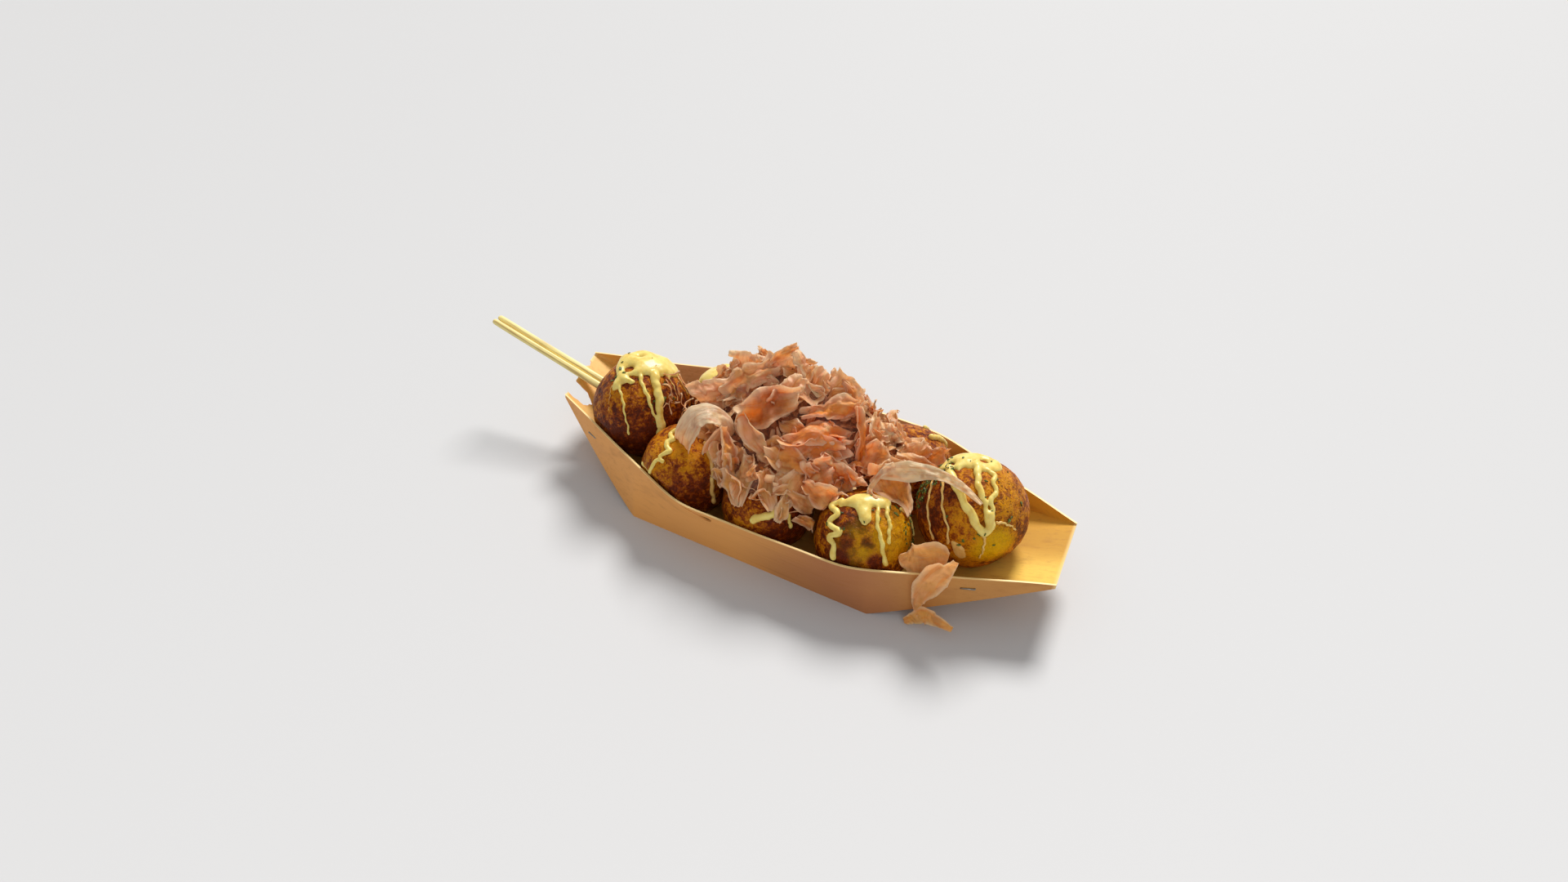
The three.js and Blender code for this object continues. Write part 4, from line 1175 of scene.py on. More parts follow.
BALLS = (
    Ball("ball_left_end", (-77.5, -6.2, 29.5), 22.2, 1.3,
        smears=(Smear((
            (-107, 48), (-116, 55), (-126, 62), (-160, 62), (170, 56), (160, 46), (130, 42), (100, 43),
            (75, 38), (60, 34), (47, 38), (33, 44), (26, 50), (15, 52), (20, 57), (8, 60), (6, 66),
            (-10, 69), (-27, 74), (-50, 73), (-77, 74), (-92, 72), (-80, 70), (-66, 67), (-70, 63),
            (-86, 63), (-96, 60), (-99, 53)), 2.3, ((-128, 79, 4.0), (120, 70, 2.0))),),
        strokes=(
            Stroke(((-104, 58), (-88, 50), (-76, 30), (-72, 17), (-71, 4)), (1.7, 1.1)),
            Stroke(((-51, 75), (-44, 54), (-40, 34), (-36, 9)), (2.2, 1.4)),
            Stroke(((-4, 68), (-23, 48), (-31, 27), (-33, 12), (-36, 1)), (4.4, 3.0))),
        threads=(
            Stroke(((47, 43), (34, 37), (28, 19)), (1.3, 0.8)),
            Stroke(((20, 55), (8, 40), (0, 28)), (1.1, 0.7)),
            Stroke(((-116, 52), (-106, 40), (-100, 26)), (1.0, 0.6))),
        patches=(
            # The first patch darkens and wets the lower side facing the camera: partly sauce, partly painted
            # shade.
            Patch((-60, -15), 62, -0.3, 0.5), Patch((-75, 42), 36, 0.16), Patch((-20, 10), 40, -0.1, 0.3)),
        baked=0.42,
        strewn=(
            Spot("shreds", (8, 34), 32), Spot("flecks", (-148, 80), 26, 0.05),
            Spot("flecks", (-20, 30), 30, 0.06))),
    Ball("ball_front_left", (-41.5, -25.5, 21.2), 20.2, 4.1,
        strokes=(Stroke((
            (150, 78), (-161, 72), (-114, 74), (-126, 67), (-112, 62), (-95, 60), (-104, 55), (-109, 48),
            (-97, 45), (-111, 42), (-112, 31), (-114, 22), (-127, 21), (-142, 17)), (2.7, 1.5)),),
        threads=(Stroke(((5, 62), (-14, 40), (-22, 23), (-27, 7), (-24, -12)), (2.6, 1.9)),),
        # The second patch darkens and wets the side facing the camera: partly sauce, partly painted shade.
        patches=(Patch((-100, 50), 48, 0.26), Patch((-62, 0), 48, -0.28, 0.7), Patch((-30, 50), 30, 0.1)),
        baked=0.5),
    Ball("ball_front_middle", (-0.5, -27, 20.6), 19.6, 2.2,
        strokes=(
            Stroke(((-80, 21), (-72, 26), (-62, 28), (-53, 31), (-49, 34)), (3.4, 3.0)),
            Stroke(((-36, 40), (-35, 25), (-34, 10)), (2.0, 1.6)),
            Stroke(((-20, 60), (-28, 50), (-34, 38)), (2.4, 1.8))),
        patches=(
            # The second patch darkens and wets the side facing the camera: partly sauce, partly painted
            # shade.
            Patch((-85, 5), 40, 0.2, 0.3), Patch((-40, 0), 40, -0.3, 0.6), Patch((-60, 45), 30, -0.1)),
        baked=0.42,
        strewn=(Spot("shreds", (-30, 36), 24, 0.5),)),
    Ball("ball_front_right", (43, -26.5, 21), 19.7, 5.7,
        smears=(Smear((
            (-165, 56), (-172, 66), (150, 74), (70, 72), (43, 62), (26, 60), (4, 68), (-27, 77), (-44, 72),
            (-50, 63), (-66, 57), (-78, 61), (-93, 69), (-120, 73), (-144, 66), (-150, 58)), 2.0),),
        strokes=(
            Stroke((
                (-165, 62), (-160, 49), (-130, 54), (-131, 40), (-107, 41), (-115, 30), (-106, 26),
                (-102, 11)), (2.7, 2.5)), Stroke(((0, 76), (-38, 60), (-42, 37), (-40, 10)), (1.9, 2.1)),
            Stroke(((33, 66), (-4, 62), (-19, 51), (-32, 34)), (2.2, 1.7)),
            Stroke(((34, 46), (35, 21), (24, 8)), (1.8, 1.3))),
        patches=(
            Patch((-74, 34), 34, 0.1, 0, 0.35, -0.2), Patch((-83, 55), 15, -0.6, 0.3),
            Patch((-90, 37), 12, -0.5, 0.1, -0.3), Patch((-62, 37), 11, -0.55, 0.1, -0.3),
            Patch((-66, 26), 12, 0.3, 0, 0.4), Patch((-84, 46), 8, 0.3, 0, 0.2),
            Patch((-124, 57), 14, -0.4, 0.2), Patch((-93, 15), 13, -0.45, 0.2, -0.3),
            Patch((-52, 16), 13, -0.45, 0.2, -0.3), Patch((2, 56), 12, -0.3, 0.2),
            # The first patch on this line darkens and wets the low side facing the camera: partly sauce,
            # partly painted shade.
            Patch((-78, 8), 40, -0.3, 0.6), Patch((-12, 36), 40, 0.36, -0.1, 0.35),
            Patch((-125, 40), 30, -0.14)),
        baked=0.5,
        strewn=(
            Spot("flecks", (-97, 60), 30, 0.03), Spot("flecks", (25, 70), 24, 0.1),
            Spot("flecks", (25, 25), 30, 0.3))),
    Ball("ball_right_end", (78.5, -1.5, 31), 22.2, 3.4,
        smears=(Smear((
            (-174, 42), (178, 48), (162, 48), (150, 50), (135, 50), (115, 52), (95, 55), (70, 55), (52, 58),
            (34, 66), (22, 76), (0, 82), (-80, 86), (-150, 86), (-150, 79), (-145, 72), (-157, 68),
            (-168, 58), (-168, 50)), 1.5, ((-178, 61, 3.0), (-146, 76, 3.2), (90, 72, 3.4))),),
        strokes=(
            Stroke(((120, 80), (-69, 73), (-61, 57), (-56, 45), (-55, 34)), (3.6, 2.0)),
            Stroke(((22, 80), (6, 73), (-26, 68), (-31, 57), (-46, 54), (-48, 43), (-50, 26)), (2.2, 2.2)),
            Stroke((
                (-164, 62), (-120, 60), (-90, 50), (-74, 38), (-66, 26), (-59, 20), (-54, 26), (-53, 38)),
                (3.6, 3.4))),
        threads=(
            Stroke(((-150, 56), (-125, 46), (-105, 29), (-96, 17), (-93, 2)), (1.5, 1.3)),
            Stroke(((-158, 44), (-128, 21), (-120, 11), (-110, -3)), (1.5, 1.2)),
            Stroke(((-59, 20), (-58, 6), (-60, -12)), (1.5, 1.0)),
            Stroke(((-44, 30), (-31, 24), (-20, 13)), (1.4, 1.0))),
        veils=(Smear(((-91, 7), (-84, 7), (-76, 0), (-73, -14), (-81, -19), (-88, -8)), 0.5),),
        patches=(
            Patch((-46, 0), 30, 0.2, 0, 0.95, -0.35), Patch((-19, 48), 44, 0.2, 0, 0.1, 0.6),
            # The first patch on this line darkens the ball's left side: partly the crust's dark patch, partly
            # painted shade.
            Patch((-128, 30), 42, -0.26, 0.4), Patch((-76, 0), 36, 0.3, 0.1),
            Patch((-93, 36), 16, 0.24, -0.2), Patch((-34, -24), 14, -0.3, 0.6),
            Patch((-8, 20), 22, -0.05, 0, 0, 0.7), Patch((-70, -40), 20, 0.3)),
        baked=0.52,
        strewn=(
            Spot("flecks", (-160, 18), 16, 1.3), Spot("flecks", (-165, 40), 13, 1.0),
            Spot("flecks", (-171, 56), 16, 0.4), Spot("flecks", (-60, 60), 60, 0.03))),
    Ball("ball_back_left", (-49.5, 19.5, 20.8), 19.4, 0.6,
        smears=(Smear((
            (-150, 50), (-131, 60), (-93, 64), (-50, 70), (0, 66), (60, 52), (110, 50), (160, 48)), 1.8),),
        strokes=(Stroke(((112, 52), (108, 30), (104, 12), (100, -4)), (2.4, 1.8)),)),
    Ball("ball_back_middle", (-2, 22, 20.5), 19.5, 6.2,
        strokes=(
            Stroke(((84, 30), (88, 8), (90, -8)), (2.8, 2.0)),
            Stroke(((60, 34), (66, 16), (62, 2)), (2.0, 1.6)))),
    Ball("ball_back_right", (41, 20, 21), 20, 2.9,
        strokes=(
            Stroke(((36, 60), (50, 34), (58, 6)), (3.0, 2.0)),
            Stroke(((80, 50), (84, 28), (88, 4)), (2.2, 1.7)))),
)


@dataclass
class Balls:
    """The eight balls in the tray: their crusts, pressed together, and the sauce on them."""

    tray: Tray
    balls: tuple[Ball, ...] = BALLS
    levels: int = 6
    relief: float = 0.34
    voxel: float = 0.36
    bead_lift: float = 0.2
    bead_gap: float = 0.75
    bead_step: float = 0.22
    wander: float = 0.02
    gap: float = 0.3
    wall_room: float = 1.1
    floor_room: float = 0.6
    wet: float = 0.15
    speckled: float = 0.35
    crust: Finish = Crust()
    mayonnaise: Finish = Mayonnaise()
    thin_mayonnaise: Finish = Mayonnaise("thin_pale_sauce", srgb(232, 190, 112), srgb(214, 160, 82))
    parts: dict[str, list[Object]] = field(default_factory=dict)

    def pressed(self, points: Array, ball: Ball, room: float = 0.0) -> Array:
        """Presses points out of the tray and back over the flats that a ball shares with others.

        Args:
            points: Points of the ball or of what is on it.
            ball: The ball.
            room: How far the points may stand over the flats.

        Returns:
            The moved points.
        """
        moved = points.copy()
        centre = np.array(ball.at)
        for other in self.balls:
            if other is ball:
                continue
            apart = np.array(other.at) - centre
            distance = float(norm(apart))
            share = (distance + (ball.radius**2 - other.radius**2) / distance) / 2 - self.gap / 2 + room
            normal = apart / distance
            over = np.maximum((moved - centre) @ normal - share, 0)
            moved -= over[:, None] * normal
        half = self.tray.half_width(moved) - self.wall_room
        moved[:, 1] = np.clip(moved[:, 1], -half, half)
        moved[:, 2] = np.maximum(moved[:, 2], self.tray.floor_height(moved) + self.floor_room)
        return moved

    def make_crust(self, ball: Ball) -> Object:
        """One ball's crust, with the relief and the browning of its batter, and some painted shade.

        Args:
            ball: The ball.

        Returns:
            The piece.
        """
        shape = bmesh.new()
        bmesh.ops.create_icosphere(shape, subdivisions=self.levels, radius=1.0)
        out = unit(np.array([vert.co[:] for vert in shape.verts]))
        faces = [[vert.index for vert in face.verts] for face in shape.faces]
        shape.free()
        smooth = ball.surface(out)
        broad = fractal(smooth, 7.0, 3, ball.seed)
        fine = fractal(smooth, 1.8, 3, ball.seed + 4)
        lift = self.relief * (0.8 * broad + 0.35 * fine)
        points = self.pressed(ball.surface(out, lift), ball)
        made = mesh_from(ball.name.replace("ball", "crust"), points, faces)
        # The crust also runs paler towards the top of each ball.
        values = {"baked": ball.baked + 0.1 * out[:, 2] + 0.12 * broad, "yellow": np.zeros(len(out)),
                  "speckled": np.full(len(out), self.speckled), "wet": np.full(len(out), self.wet)}
        for patch in ball.patches:
            edge = angles_from(out, patch.at) / patch.reach + 0.25 * broad
            share = 1 / (1 + np.exp((edge - 0.75) * 9))
            for name in values:
                values[name] += getattr(patch, name) * share
        for name, value in values.items():
            store_values(made.data, name, value if name == "baked" else np.clip(value, 0, 1))
        return dress(made, self.crust, "crust", ball.name)

    def stroke_beads(self, ball: Ball, stroke: Stroke) -> Arrays:
        """The beads that make up a stroke.

        Args:
            ball: The ball that it is on.
            stroke: The stroke.

        Returns:
            Their middles and their radii.
        """
        guide = [direction(*place) for place in stroke.through]
        length = float(norm(np.diff(even_points(guide, 60), axis=0), axis=1).sum()) * ball.radius
        count = max(8, int(length / (self.bead_step * min(stroke.width))))
        spine = unit(even_points(guide, count))
        share = np.linspace(0, 1, count)
        across = unit(np.cross(unit(np.gradient(spine, axis=0)), spine))
        wander = self.wander * np.sin(share * 9 + ball.seed * 3) * np.sin(share * 23 + ball.seed)
        middle = unit(spine + across * wander[:, None])
        half = lerp(stroke.width[0], stroke.width[1], share) / 2
        half = half * (1 + 0.14 * np.sin(share * 31 + ball.seed * 5) * np.sin(share * 17))
        half = half * (1 + 0.3 * np.exp(-((share - 0.97) / 0.04) ** 2))
        lift = self.bead_lift + 0.1 * half
        return self.pressed(ball.surface(middle, lift), ball, 1.0), half

    def spots_inside(self, corners: Array, line: Array) -> Array:
        """Evenly spread spots inside a flat outline.

        Args:
            corners: Its corners.
            line: A smooth line through them.

        Returns:
            The spots between the corners.
        """
        steps = (np.arange(a, b, self.bead_gap) for a, b in zip(line.min(axis=0), line.max(axis=0)))
        spots = np.stack(np.meshgrid(*steps), axis=-1).reshape(-1, 2)
        start, end = corners, np.roll(corners, -1, axis=0)
        crosses = (start[:, 1] > spots[:, None, 1]) != (end[:, 1] > spots[:, None, 1])
        rise = end[:, 1] - start[:, 1]
        run = (end[:, 0] - start[:, 0]) / np.where(rise == 0, 1, rise)
        past = spots[:, None, 0] < run * (spots[:, None, 1] - start[:, 1]) + start[:, 0]
        return spots[(crosses & past).sum(axis=1) % 2 == 1]

    def smear_beads(self, ball: Ball, smear: Smear) -> Arrays:
        """The beads that fill a smear's outline.

        Args:
            ball: The ball that it is on.
            smear: The smear.

        Returns:
            Their middles and their radii.
        """
        edge = direction(*np.array(smear.outline, float).T)
        axis = unit(edge.mean(axis=0))
        side = unit(np.cross([0.0, 1.0, 0.0], axis))
        other = np.cross(axis, side)

        def flattened(out: Array) -> Array:
            """Directions as places on a plane that touches the ball, in millimetres."""
            angle = np.arccos(np.clip(out @ axis, -1, 1))
            return unit(np.stack([out @ side, out @ other], axis=-1)) * (angle * ball.radius)[:, None]

        corners = flattened(edge)
        line = curve_points([corners[-1], *corners, corners[0], corners[1]], np.linspace(0, 1, 400))
        spots = self.spots_inside(corners, line)
        depth = norm(spots[:, None] - line, axis=2).min(axis=1)
        for azimuth, elevation, wide in smear.holes:
            hole = flattened(direction(azimuth, elevation)[None])[0]
            depth = np.minimum(depth, norm(spots - hole, axis=1) - wide / 2)
        spots, depth = spots[depth > 0.2], depth[depth > 0.2]
        reach = norm(spots, axis=1)
        angle = reach / ball.radius
        flat = spots / np.maximum(reach, 1e-6)[:, None]
        out = axis * np.cos(angle)[:, None]
        out = out + (side * flat[:, :1] + other * flat[:, 1:]) * np.sin(angle)[:, None]
        waves = fractal(ball.surface(out), 6, 2, ball.seed + 9)
        height = smear.deep * (1 - np.exp(-depth / 1.5)) * (1 + 0.3 * waves)
        half = np.minimum(1.2, 0.5 + 0.4 * depth)
        return ball.surface(out, height - 0.8 * half), half

    def sauce_tree(self) -> GeometryGraph:
        """Makes the nodes that fuse beads into one smooth body of sauce.

        Returns:
            The tree.
        """
        graph = GeometryGraph("fused_sauce")
        voxel = graph.input("Voxel", "Float")
        smoothing = graph.input("Smoothing", "Int")
        material = graph.input("Material", "Material")
        radius = graph.stored("bead_radius")
        values = {"Mesh": graph.shape, "Radius": radius}
        beads = graph.node("GeometryNodeMeshToPoints", {"mode": "VERTICES"}, values)
        values = {"Points": beads, "Density": 1.0, "Voxel Size": voxel, "Radius": radius}
        body = graph.node("GeometryNodePointsToVolume", {"resolution_mode": "VOXEL_SIZE"}, values)
        values = {"Volume": body, "Threshold": 0.3}
        skin = graph.node("GeometryNodeVolumeToMesh", {"resolution_mode": "GRID"}, values)
        values = {"Value": graph.node("GeometryNodeInputPosition"), "Iterations": smoothing}
        eased = graph.node("GeometryNodeBlurAttribute", {"data_type": "FLOAT_VECTOR"}, values)
        moved = graph.node("GeometryNodeSetPosition", {}, {"Geometry": skin, "Position": eased})
        soft = graph.node("GeometryNodeSetShadeSmooth", {}, {"Geometry": moved, "Shade Smooth": True})
        graph.finish(soft, material)
        return graph

    def make_sauce(self, ball: Ball, graph: GeometryGraph) -> list[Object]:
        """The thick sauce on one ball, and the thin threads of it.

        Args:
            ball: The ball.
            graph: The nodes that fuse beads.

        Returns:
            The pieces.
        """
        pieces = []
        layers = (("sauce", ball.smears, ball.strokes, self.mayonnaise),
                  ("threads", ball.veils, ball.threads, self.thin_mayonnaise))
        for word, smears, strokes, finish in layers:
            parts = [self.smear_beads(ball, smear) for smear in smears]
            parts += [self.stroke_beads(ball, stroke) for stroke in strokes]
            if not parts:
                continue
            middles, radii = (np.concatenate(values) for values in zip(*parts))
            made = mesh_from(ball.name.replace("ball", word), middles, [])
            store_values(made.data, "bead_radius", radii * MM)
            graph.run(made, Voxel=self.voxel * MM, Smoothing=3, Material=finish.material())
            pieces.append(dress(made, finish, "crust", ball.name))
        return pieces

    def marked(self, kind: str) -> Mesh:
        """The outsides of the balls that something is strewn on, as one mesh.

        Args:
            kind: The kind of thing.

        Returns:
            The mesh, whose cover value marks where it is strewn.
        """
        shape = bmesh.new()
        cover: list[Array] = []
        for ball in self.balls:
            spots = [spot for spot in ball.strewn if spot.kind == kind]
            for made in self.parts[ball.name] if spots else ():
                shape.from_mesh(made.data)
                out = unit(point_array(made.data) / MM - np.array(ball.at))
                shares = [spot.share * (angles_from(out, spot.at) < spot.reach) for spot in spots]
                cover.append(np.max(shares, axis=0))
        mesh = bpy.data.meshes.new("marked_" + kind)
        shape.to_mesh(mesh)
        shape.free()
        store_values(mesh, "cover", np.concatenate(cover))
        return mesh

    def build(self) -> None:
        """Makes every ball with its sauce."""
        graph = self.sauce_tree()
        for ball in self.balls:
            self.parts[ball.name] = [self.make_crust(ball), *self.make_sauce(ball, graph)]


# ---- scattering


@dataclass
class Scatter:
    """Spreads a collection's shapes over the parts of a surface that its cover value marks."""

    material: Material

    def tree(self) -> GeometryGraph:
        """Makes the nodes that scatter shapes over a surface, each turned and tilted at random.

        Returns:
            The tree.
        """
        graph = GeometryGraph("scattered_shapes")
        sockets = (("Shapes", "Collection"), ("Density", "Float"), ("Least", "Float"), ("Most", "Float"),
                   ("Tilt", "Float"), ("Lift", "Float"), ("Seed", "Int"), ("Material", "Material"))
        shapes, density, least, most, tilt, lift, seed, material = (graph.input(*row) for row in sockets)
        values = {"Mesh": graph.shape, "Density": density * graph.stored("cover"), "Seed": seed}
        points = graph.node("GeometryNodeDistributePointsOnFaces", {}, values, "Points")
        normal = Wire(graph, points.socket.node.outputs["Normal"])
        raised = graph.node("ShaderNodeVectorMath", {"operation": "SCALE"}, {0: normal, "Scale": lift})
        moved = graph.node("GeometryNodeSetPosition", {}, {"Geometry": points, "Offset": raised})
        upright = graph.node("FunctionNodeAlignRotationToVector", {"axis": "Z"}, {"Vector": normal})
        ranges = ((0.0 - tilt, tilt), (0.0 - tilt, tilt), (0.0, 2 * pi))
        turns = [graph.chance(*reach, seed + 11 * (k + 1)) for k, reach in enumerate(ranges)]
        euler = graph.node("ShaderNodeCombineXYZ", {}, dict(enumerate(turns)))
        angles = graph.node("FunctionNodeEulerToRotation", {}, {0: euler})
        settings = {"rotation_space": "LOCAL"}
        rotation = graph.node("FunctionNodeRotateRotation", settings, {0: upright, 1: angles})
        values = {"Collection": shapes, "Separate Children": True, "Reset Children": True}
        kinds = graph.node("GeometryNodeCollectionInfo", {}, values)
        values = {"Points": moved, "Instance": kinds, "Pick Instance": True, "Rotation": rotation,
                  "Scale": graph.chance(least, most, seed + 71)}
        graph.finish(graph.node("GeometryNodeInstanceOnPoints", {}, values), material)
        return graph

    def run(self, name: str, base: Mesh, home: Collection, **values: float) -> Object:
        """Scatters a collection's shapes over a base, with the tree's further inputs, as one piece."""
        return self.tree().run(placed(name, base.copy()), Shapes=home, Material=self.material, **values)


# ---- bonito flakes


class Tone(Enum):
    """The tones of bonito shavings, as places on their ramp."""

    WHITE = 0.0
    PEACH = 0.2
    PINK = 0.4
    TAN = 0.6
    ORANGE = 0.8
    MAUVE = 1.0


WHITE, PEACH, PINK, TAN, ORANGE, MAUVE = Tone


@dataclass(frozen=True)
class Flake:
    """A large flake: its middle, size, attitude on the heap's slope, bend and tone."""

    at: Point
    size: Pair
    turn: float
    pitch: float
    roll: float
    curl: float
    cup: float
    tone: Tone = PINK
    far: Tone = PEACH
    ends: Pair = (0.05, 0.85)


LARGE_FLAKES = tuple(Flake(*row) for row in (
    ((-30, 7, 58), (17, 17), 84, 22, -12, 20, 40, TAN, PEACH, (0.8, 1)),
    ((-14.5, 7, 61), (21, 19), 76, 24, 8, 34, 46, TAN, PINK, (0.5, 1)),
    ((-12.5, 9, 71), (14, 6), 30, 16, 20, -40, 40, MAUVE, TAN),
    ((-4.5, 10, 66), (16, 9), 116, 20, 22, 24, 36, PINK, WHITE),
    ((2.5, 8, 61), (14, 10), 55, 10, -20, 40, 30, ORANGE, PEACH),
    ((12.5, 10, 56), (21, 18), 60, 18, 4, 26, 44, MAUVE, PINK, (0.55, 0.9)),
    ((20, 11, 56.5), (16, 9), 124, 10, 20, 40, 30, PINK, MAUVE),
    ((-24, -2, 61), (30, 15), 24, 0, -18, 46, 56, PINK, TAN),
    ((-36, -8, 54), (25, 13), 8, -6, 14, 50, 36, TAN, PINK),
    ((-5, -5, 61), (24, 13), 42, 6, 24, 30, 50, TAN, PINK),
    ((15, 0, 58.5), (28, 13), 8, 0, -22, 44, 44, MAUVE, PINK),
    ((-10, -12, 58), (30, 20), 18, 0, 10, -34, -76, ORANGE, PINK),
    ((14, -12, 53), (34, 15), 6, 0, -30, 40, 60, ORANGE, WHITE),
    ((15, -17, 49.5), (31, 11), -6, 0, 34, 30, -50, PEACH, ORANGE),
    ((30, -4, 50), (29, 7), 94, 0, 30, 34, 60, ORANGE, TAN),
    ((36.5, -7, 45), (17, 13), 58, 6, -14, 24, 40, ORANGE, PEACH),
    ((31.5, 5, 49), (17, 10), 76, 4, 14, 40, 40, PINK, WHITE),
    ((-7, -24, 49), (24, 10), -58, 0, 26, 40, -46, TAN, PEACH),
    ((9, -25, 46), (24, 13), -22, 4, -24, 36, 50, ORANGE, TAN),
    ((-18, -29, 43), (24, 9), 104, -4, 30, 50, -50, MAUVE, TAN),
    ((-7, -36, 38.5), (20, 13), 82, -8, -22, 44, 56, TAN, PEACH),
    ((3, -36, 38.5), (19, 11), 104, -6, 20, 36, -50, PINK, TAN),
    ((17, -28, 39.5), (26, 20), 34, 0, -8, 46, 44, TAN, PEACH),
    ((30, -18, 42), (24, 9), -38, 0, 20, 40, 50, TAN, WHITE),
    ((48.5, -13, 39.5), (29, 19), -72, -10, -10, 50, -60, TAN, ORANGE, (0.5, 0.9)),
    ((49, 11, 41), (15, 11), 14, 10, 10, 40, 40, MAUVE, WHITE),
    ((34, 10, 44.5), (16, 13), 100, 8, -10, 50, 40, PEACH, WHITE, (0.4, 0.9)),
    ((46, 10, 38.5), (16, 12), 76, 0, 10, 40, 50, TAN, MAUVE, (0.4, 0.9)),
    ((56, 14, 38), (17, 12), 40, -4, 10, 60, 40, PEACH, MAUVE),
    ((50, 4, 39), (17, 12), -20, -4, 0, 50, 40, PINK, TAN),
    ((18.5, -32, 32.5), (17, 9), -34, 0, 10, 50, 50, TAN, PEACH),
    ((23, -35.5, 27), (13, 6), -24, -4, -24, 60, 56, MAUVE, TAN),
    ((12, -37, 34), (14, 7), 70, 0, 20, 50, -50, PEACH, WHITE),
    ((25.5, -29, 38), (24, 15), -30, 0, 8, 44, -50, TAN, PEACH),
))


@dataclass(frozen=True)
class Ribbon:
    """A flake that follows a path: its widths along it, its facing and the hub that it bends round."""

    name: str
    path: tuple[Point, ...]
    widths: tuple[float, ...]
    face: Point
    tone: Tone
    far: Tone
    hub: Point | None = None
    lean: float = 1.0

    def grid(self, cells: tuple[int, int], seed: float) -> Arrays:
        """The flake's points along its path, and how far each is along and across it.

        Args:
            cells: Points along and across.
            seed: Which ragged shape it takes.

        Returns:
            Both grids.
        """
        rows, columns = cells
        share = np.linspace(0, 1, rows)
        middle = curve_points(self.path, share)
        heading = unit(np.gradient(middle, axis=0))
        facing = unit(np.broadcast_to(self.face, heading.shape))
        if self.hub is not None:
            facing = unit(facing + self.lean * unit(middle - np.array(self.hub)))
        across = unit(np.cross(facing, heading))
        out = unit(np.cross(heading, across))
        half = np.interp(share, np.linspace(0, 1, len(self.widths)), self.widths) / 2
        v = np.linspace(-1, 1, columns)
        ragged = 1 + 0.05 * np.sin(11 * share[:, None] + 2 * np.sign(v) + seed)
        ragged = ragged + 0.03 * np.sin(29 * share[:, None] + v)
        y = half[:, None] * ragged * v
        along = np.broadcast_to((share * 50)[:, None], y.shape)
        flat = np.stack([y, 0.8 * along, np.full_like(y, seed)], axis=-1)
        ridges = 1 - 2 * abs(fractal(flat.reshape(-1, 3), 5, 2, seed)).reshape(y.shape)
        wave = 0.7 * ridges + 0.3 * np.sin(14 * share[:, None] + 2.4 * (v + 1))
        points = middle[:, None] + y[..., None] * across[:, None] + wave[..., None] * out[:, None]
        return points, np.stack([along + 30 * seed, y], axis=-1)


RIBBONS = (
    Ribbon(
        "flake_over_right_ball",
        ((43, -15, 47), (54, -12, 49.5), (66, -11, 51.8), (76.5, -13.6, 52.4), (86, -16.6, 49.6)),
        (6, 8.5, 4.6, 3.2, 1.4), (0.3, -0.6, 0.75), WHITE, WHITE),
    Ribbon(
        "flake_over_rim",
        (
            (85, -36.6, 36.5), (83, -37.2, 32.5), (79, -38.4, 27.6), (75.6, -40.3, 20.5),
            (73.6, -40.9, 14.5), (73.4, -41.2, 9.5), (75.4, -41.8, 7.6)), (2.4, 4.6, 11.5, 10.5, 5.5, 3, 3),
        (0.2, -0.9, 0.35), PINK, TAN),
    Ribbon(
        "flake_over_rim",
        ((69.6, -42.6, 1.6), (73, -42.4, 4.6), (77, -42.2, 8.2), (82, -42.8, 8.6), (89, -42.6, 7)),
        (2.6, 5.4, 7.6, 5.4, 2.2), (0.2, -0.9, 0.35), TAN, ORANGE),
    Ribbon(
        "flake_inside_rim",
        (
            (61.6, -34.2, 26.4), (64.4, -33.8, 25.6), (67.4, -33.2, 25.7), (71, -32.6, 27.2),
            (75.4, -31.8, 29.4), (80, -31, 29)), (1.5, 8, 14.4, 14.8, 15, 8.4), (0.25, -0.93, 0.25), PEACH,
        ORANGE),
)
ARCHED_FLAKE = Ribbon(
    "arched_flake",
    (
        (-39.3, -31.8, 37), (-38.6, -29.5, 45), (-35.6, -25.5, 51.5), (-30, -22.9, 54), (-24.8, -20.8, 51),
        (-22.6, -21, 45), (-21.7, -22.6, 38)), (9, 13, 13, 9.5, 7.5, 7, 5), (0.372, -0.682, 0.63), WHITE,
    WHITE, (-30, -26, 43), 0.9)
HOOKED_FLAKE = Ribbon(
    "hooked_flake",
    (
        (48, -12, 50.6), (45.2, -14.6, 48.8), (43.2, -18.4, 45.4), (42.6, -22.6, 42.6), (45, -24.6, 42.2),
        (49.6, -22.4, 40.4)), (2.4, 2.6, 2.2, 2, 2.2, 1.6), (0.372, -0.682, 0.63), WHITE, WHITE)


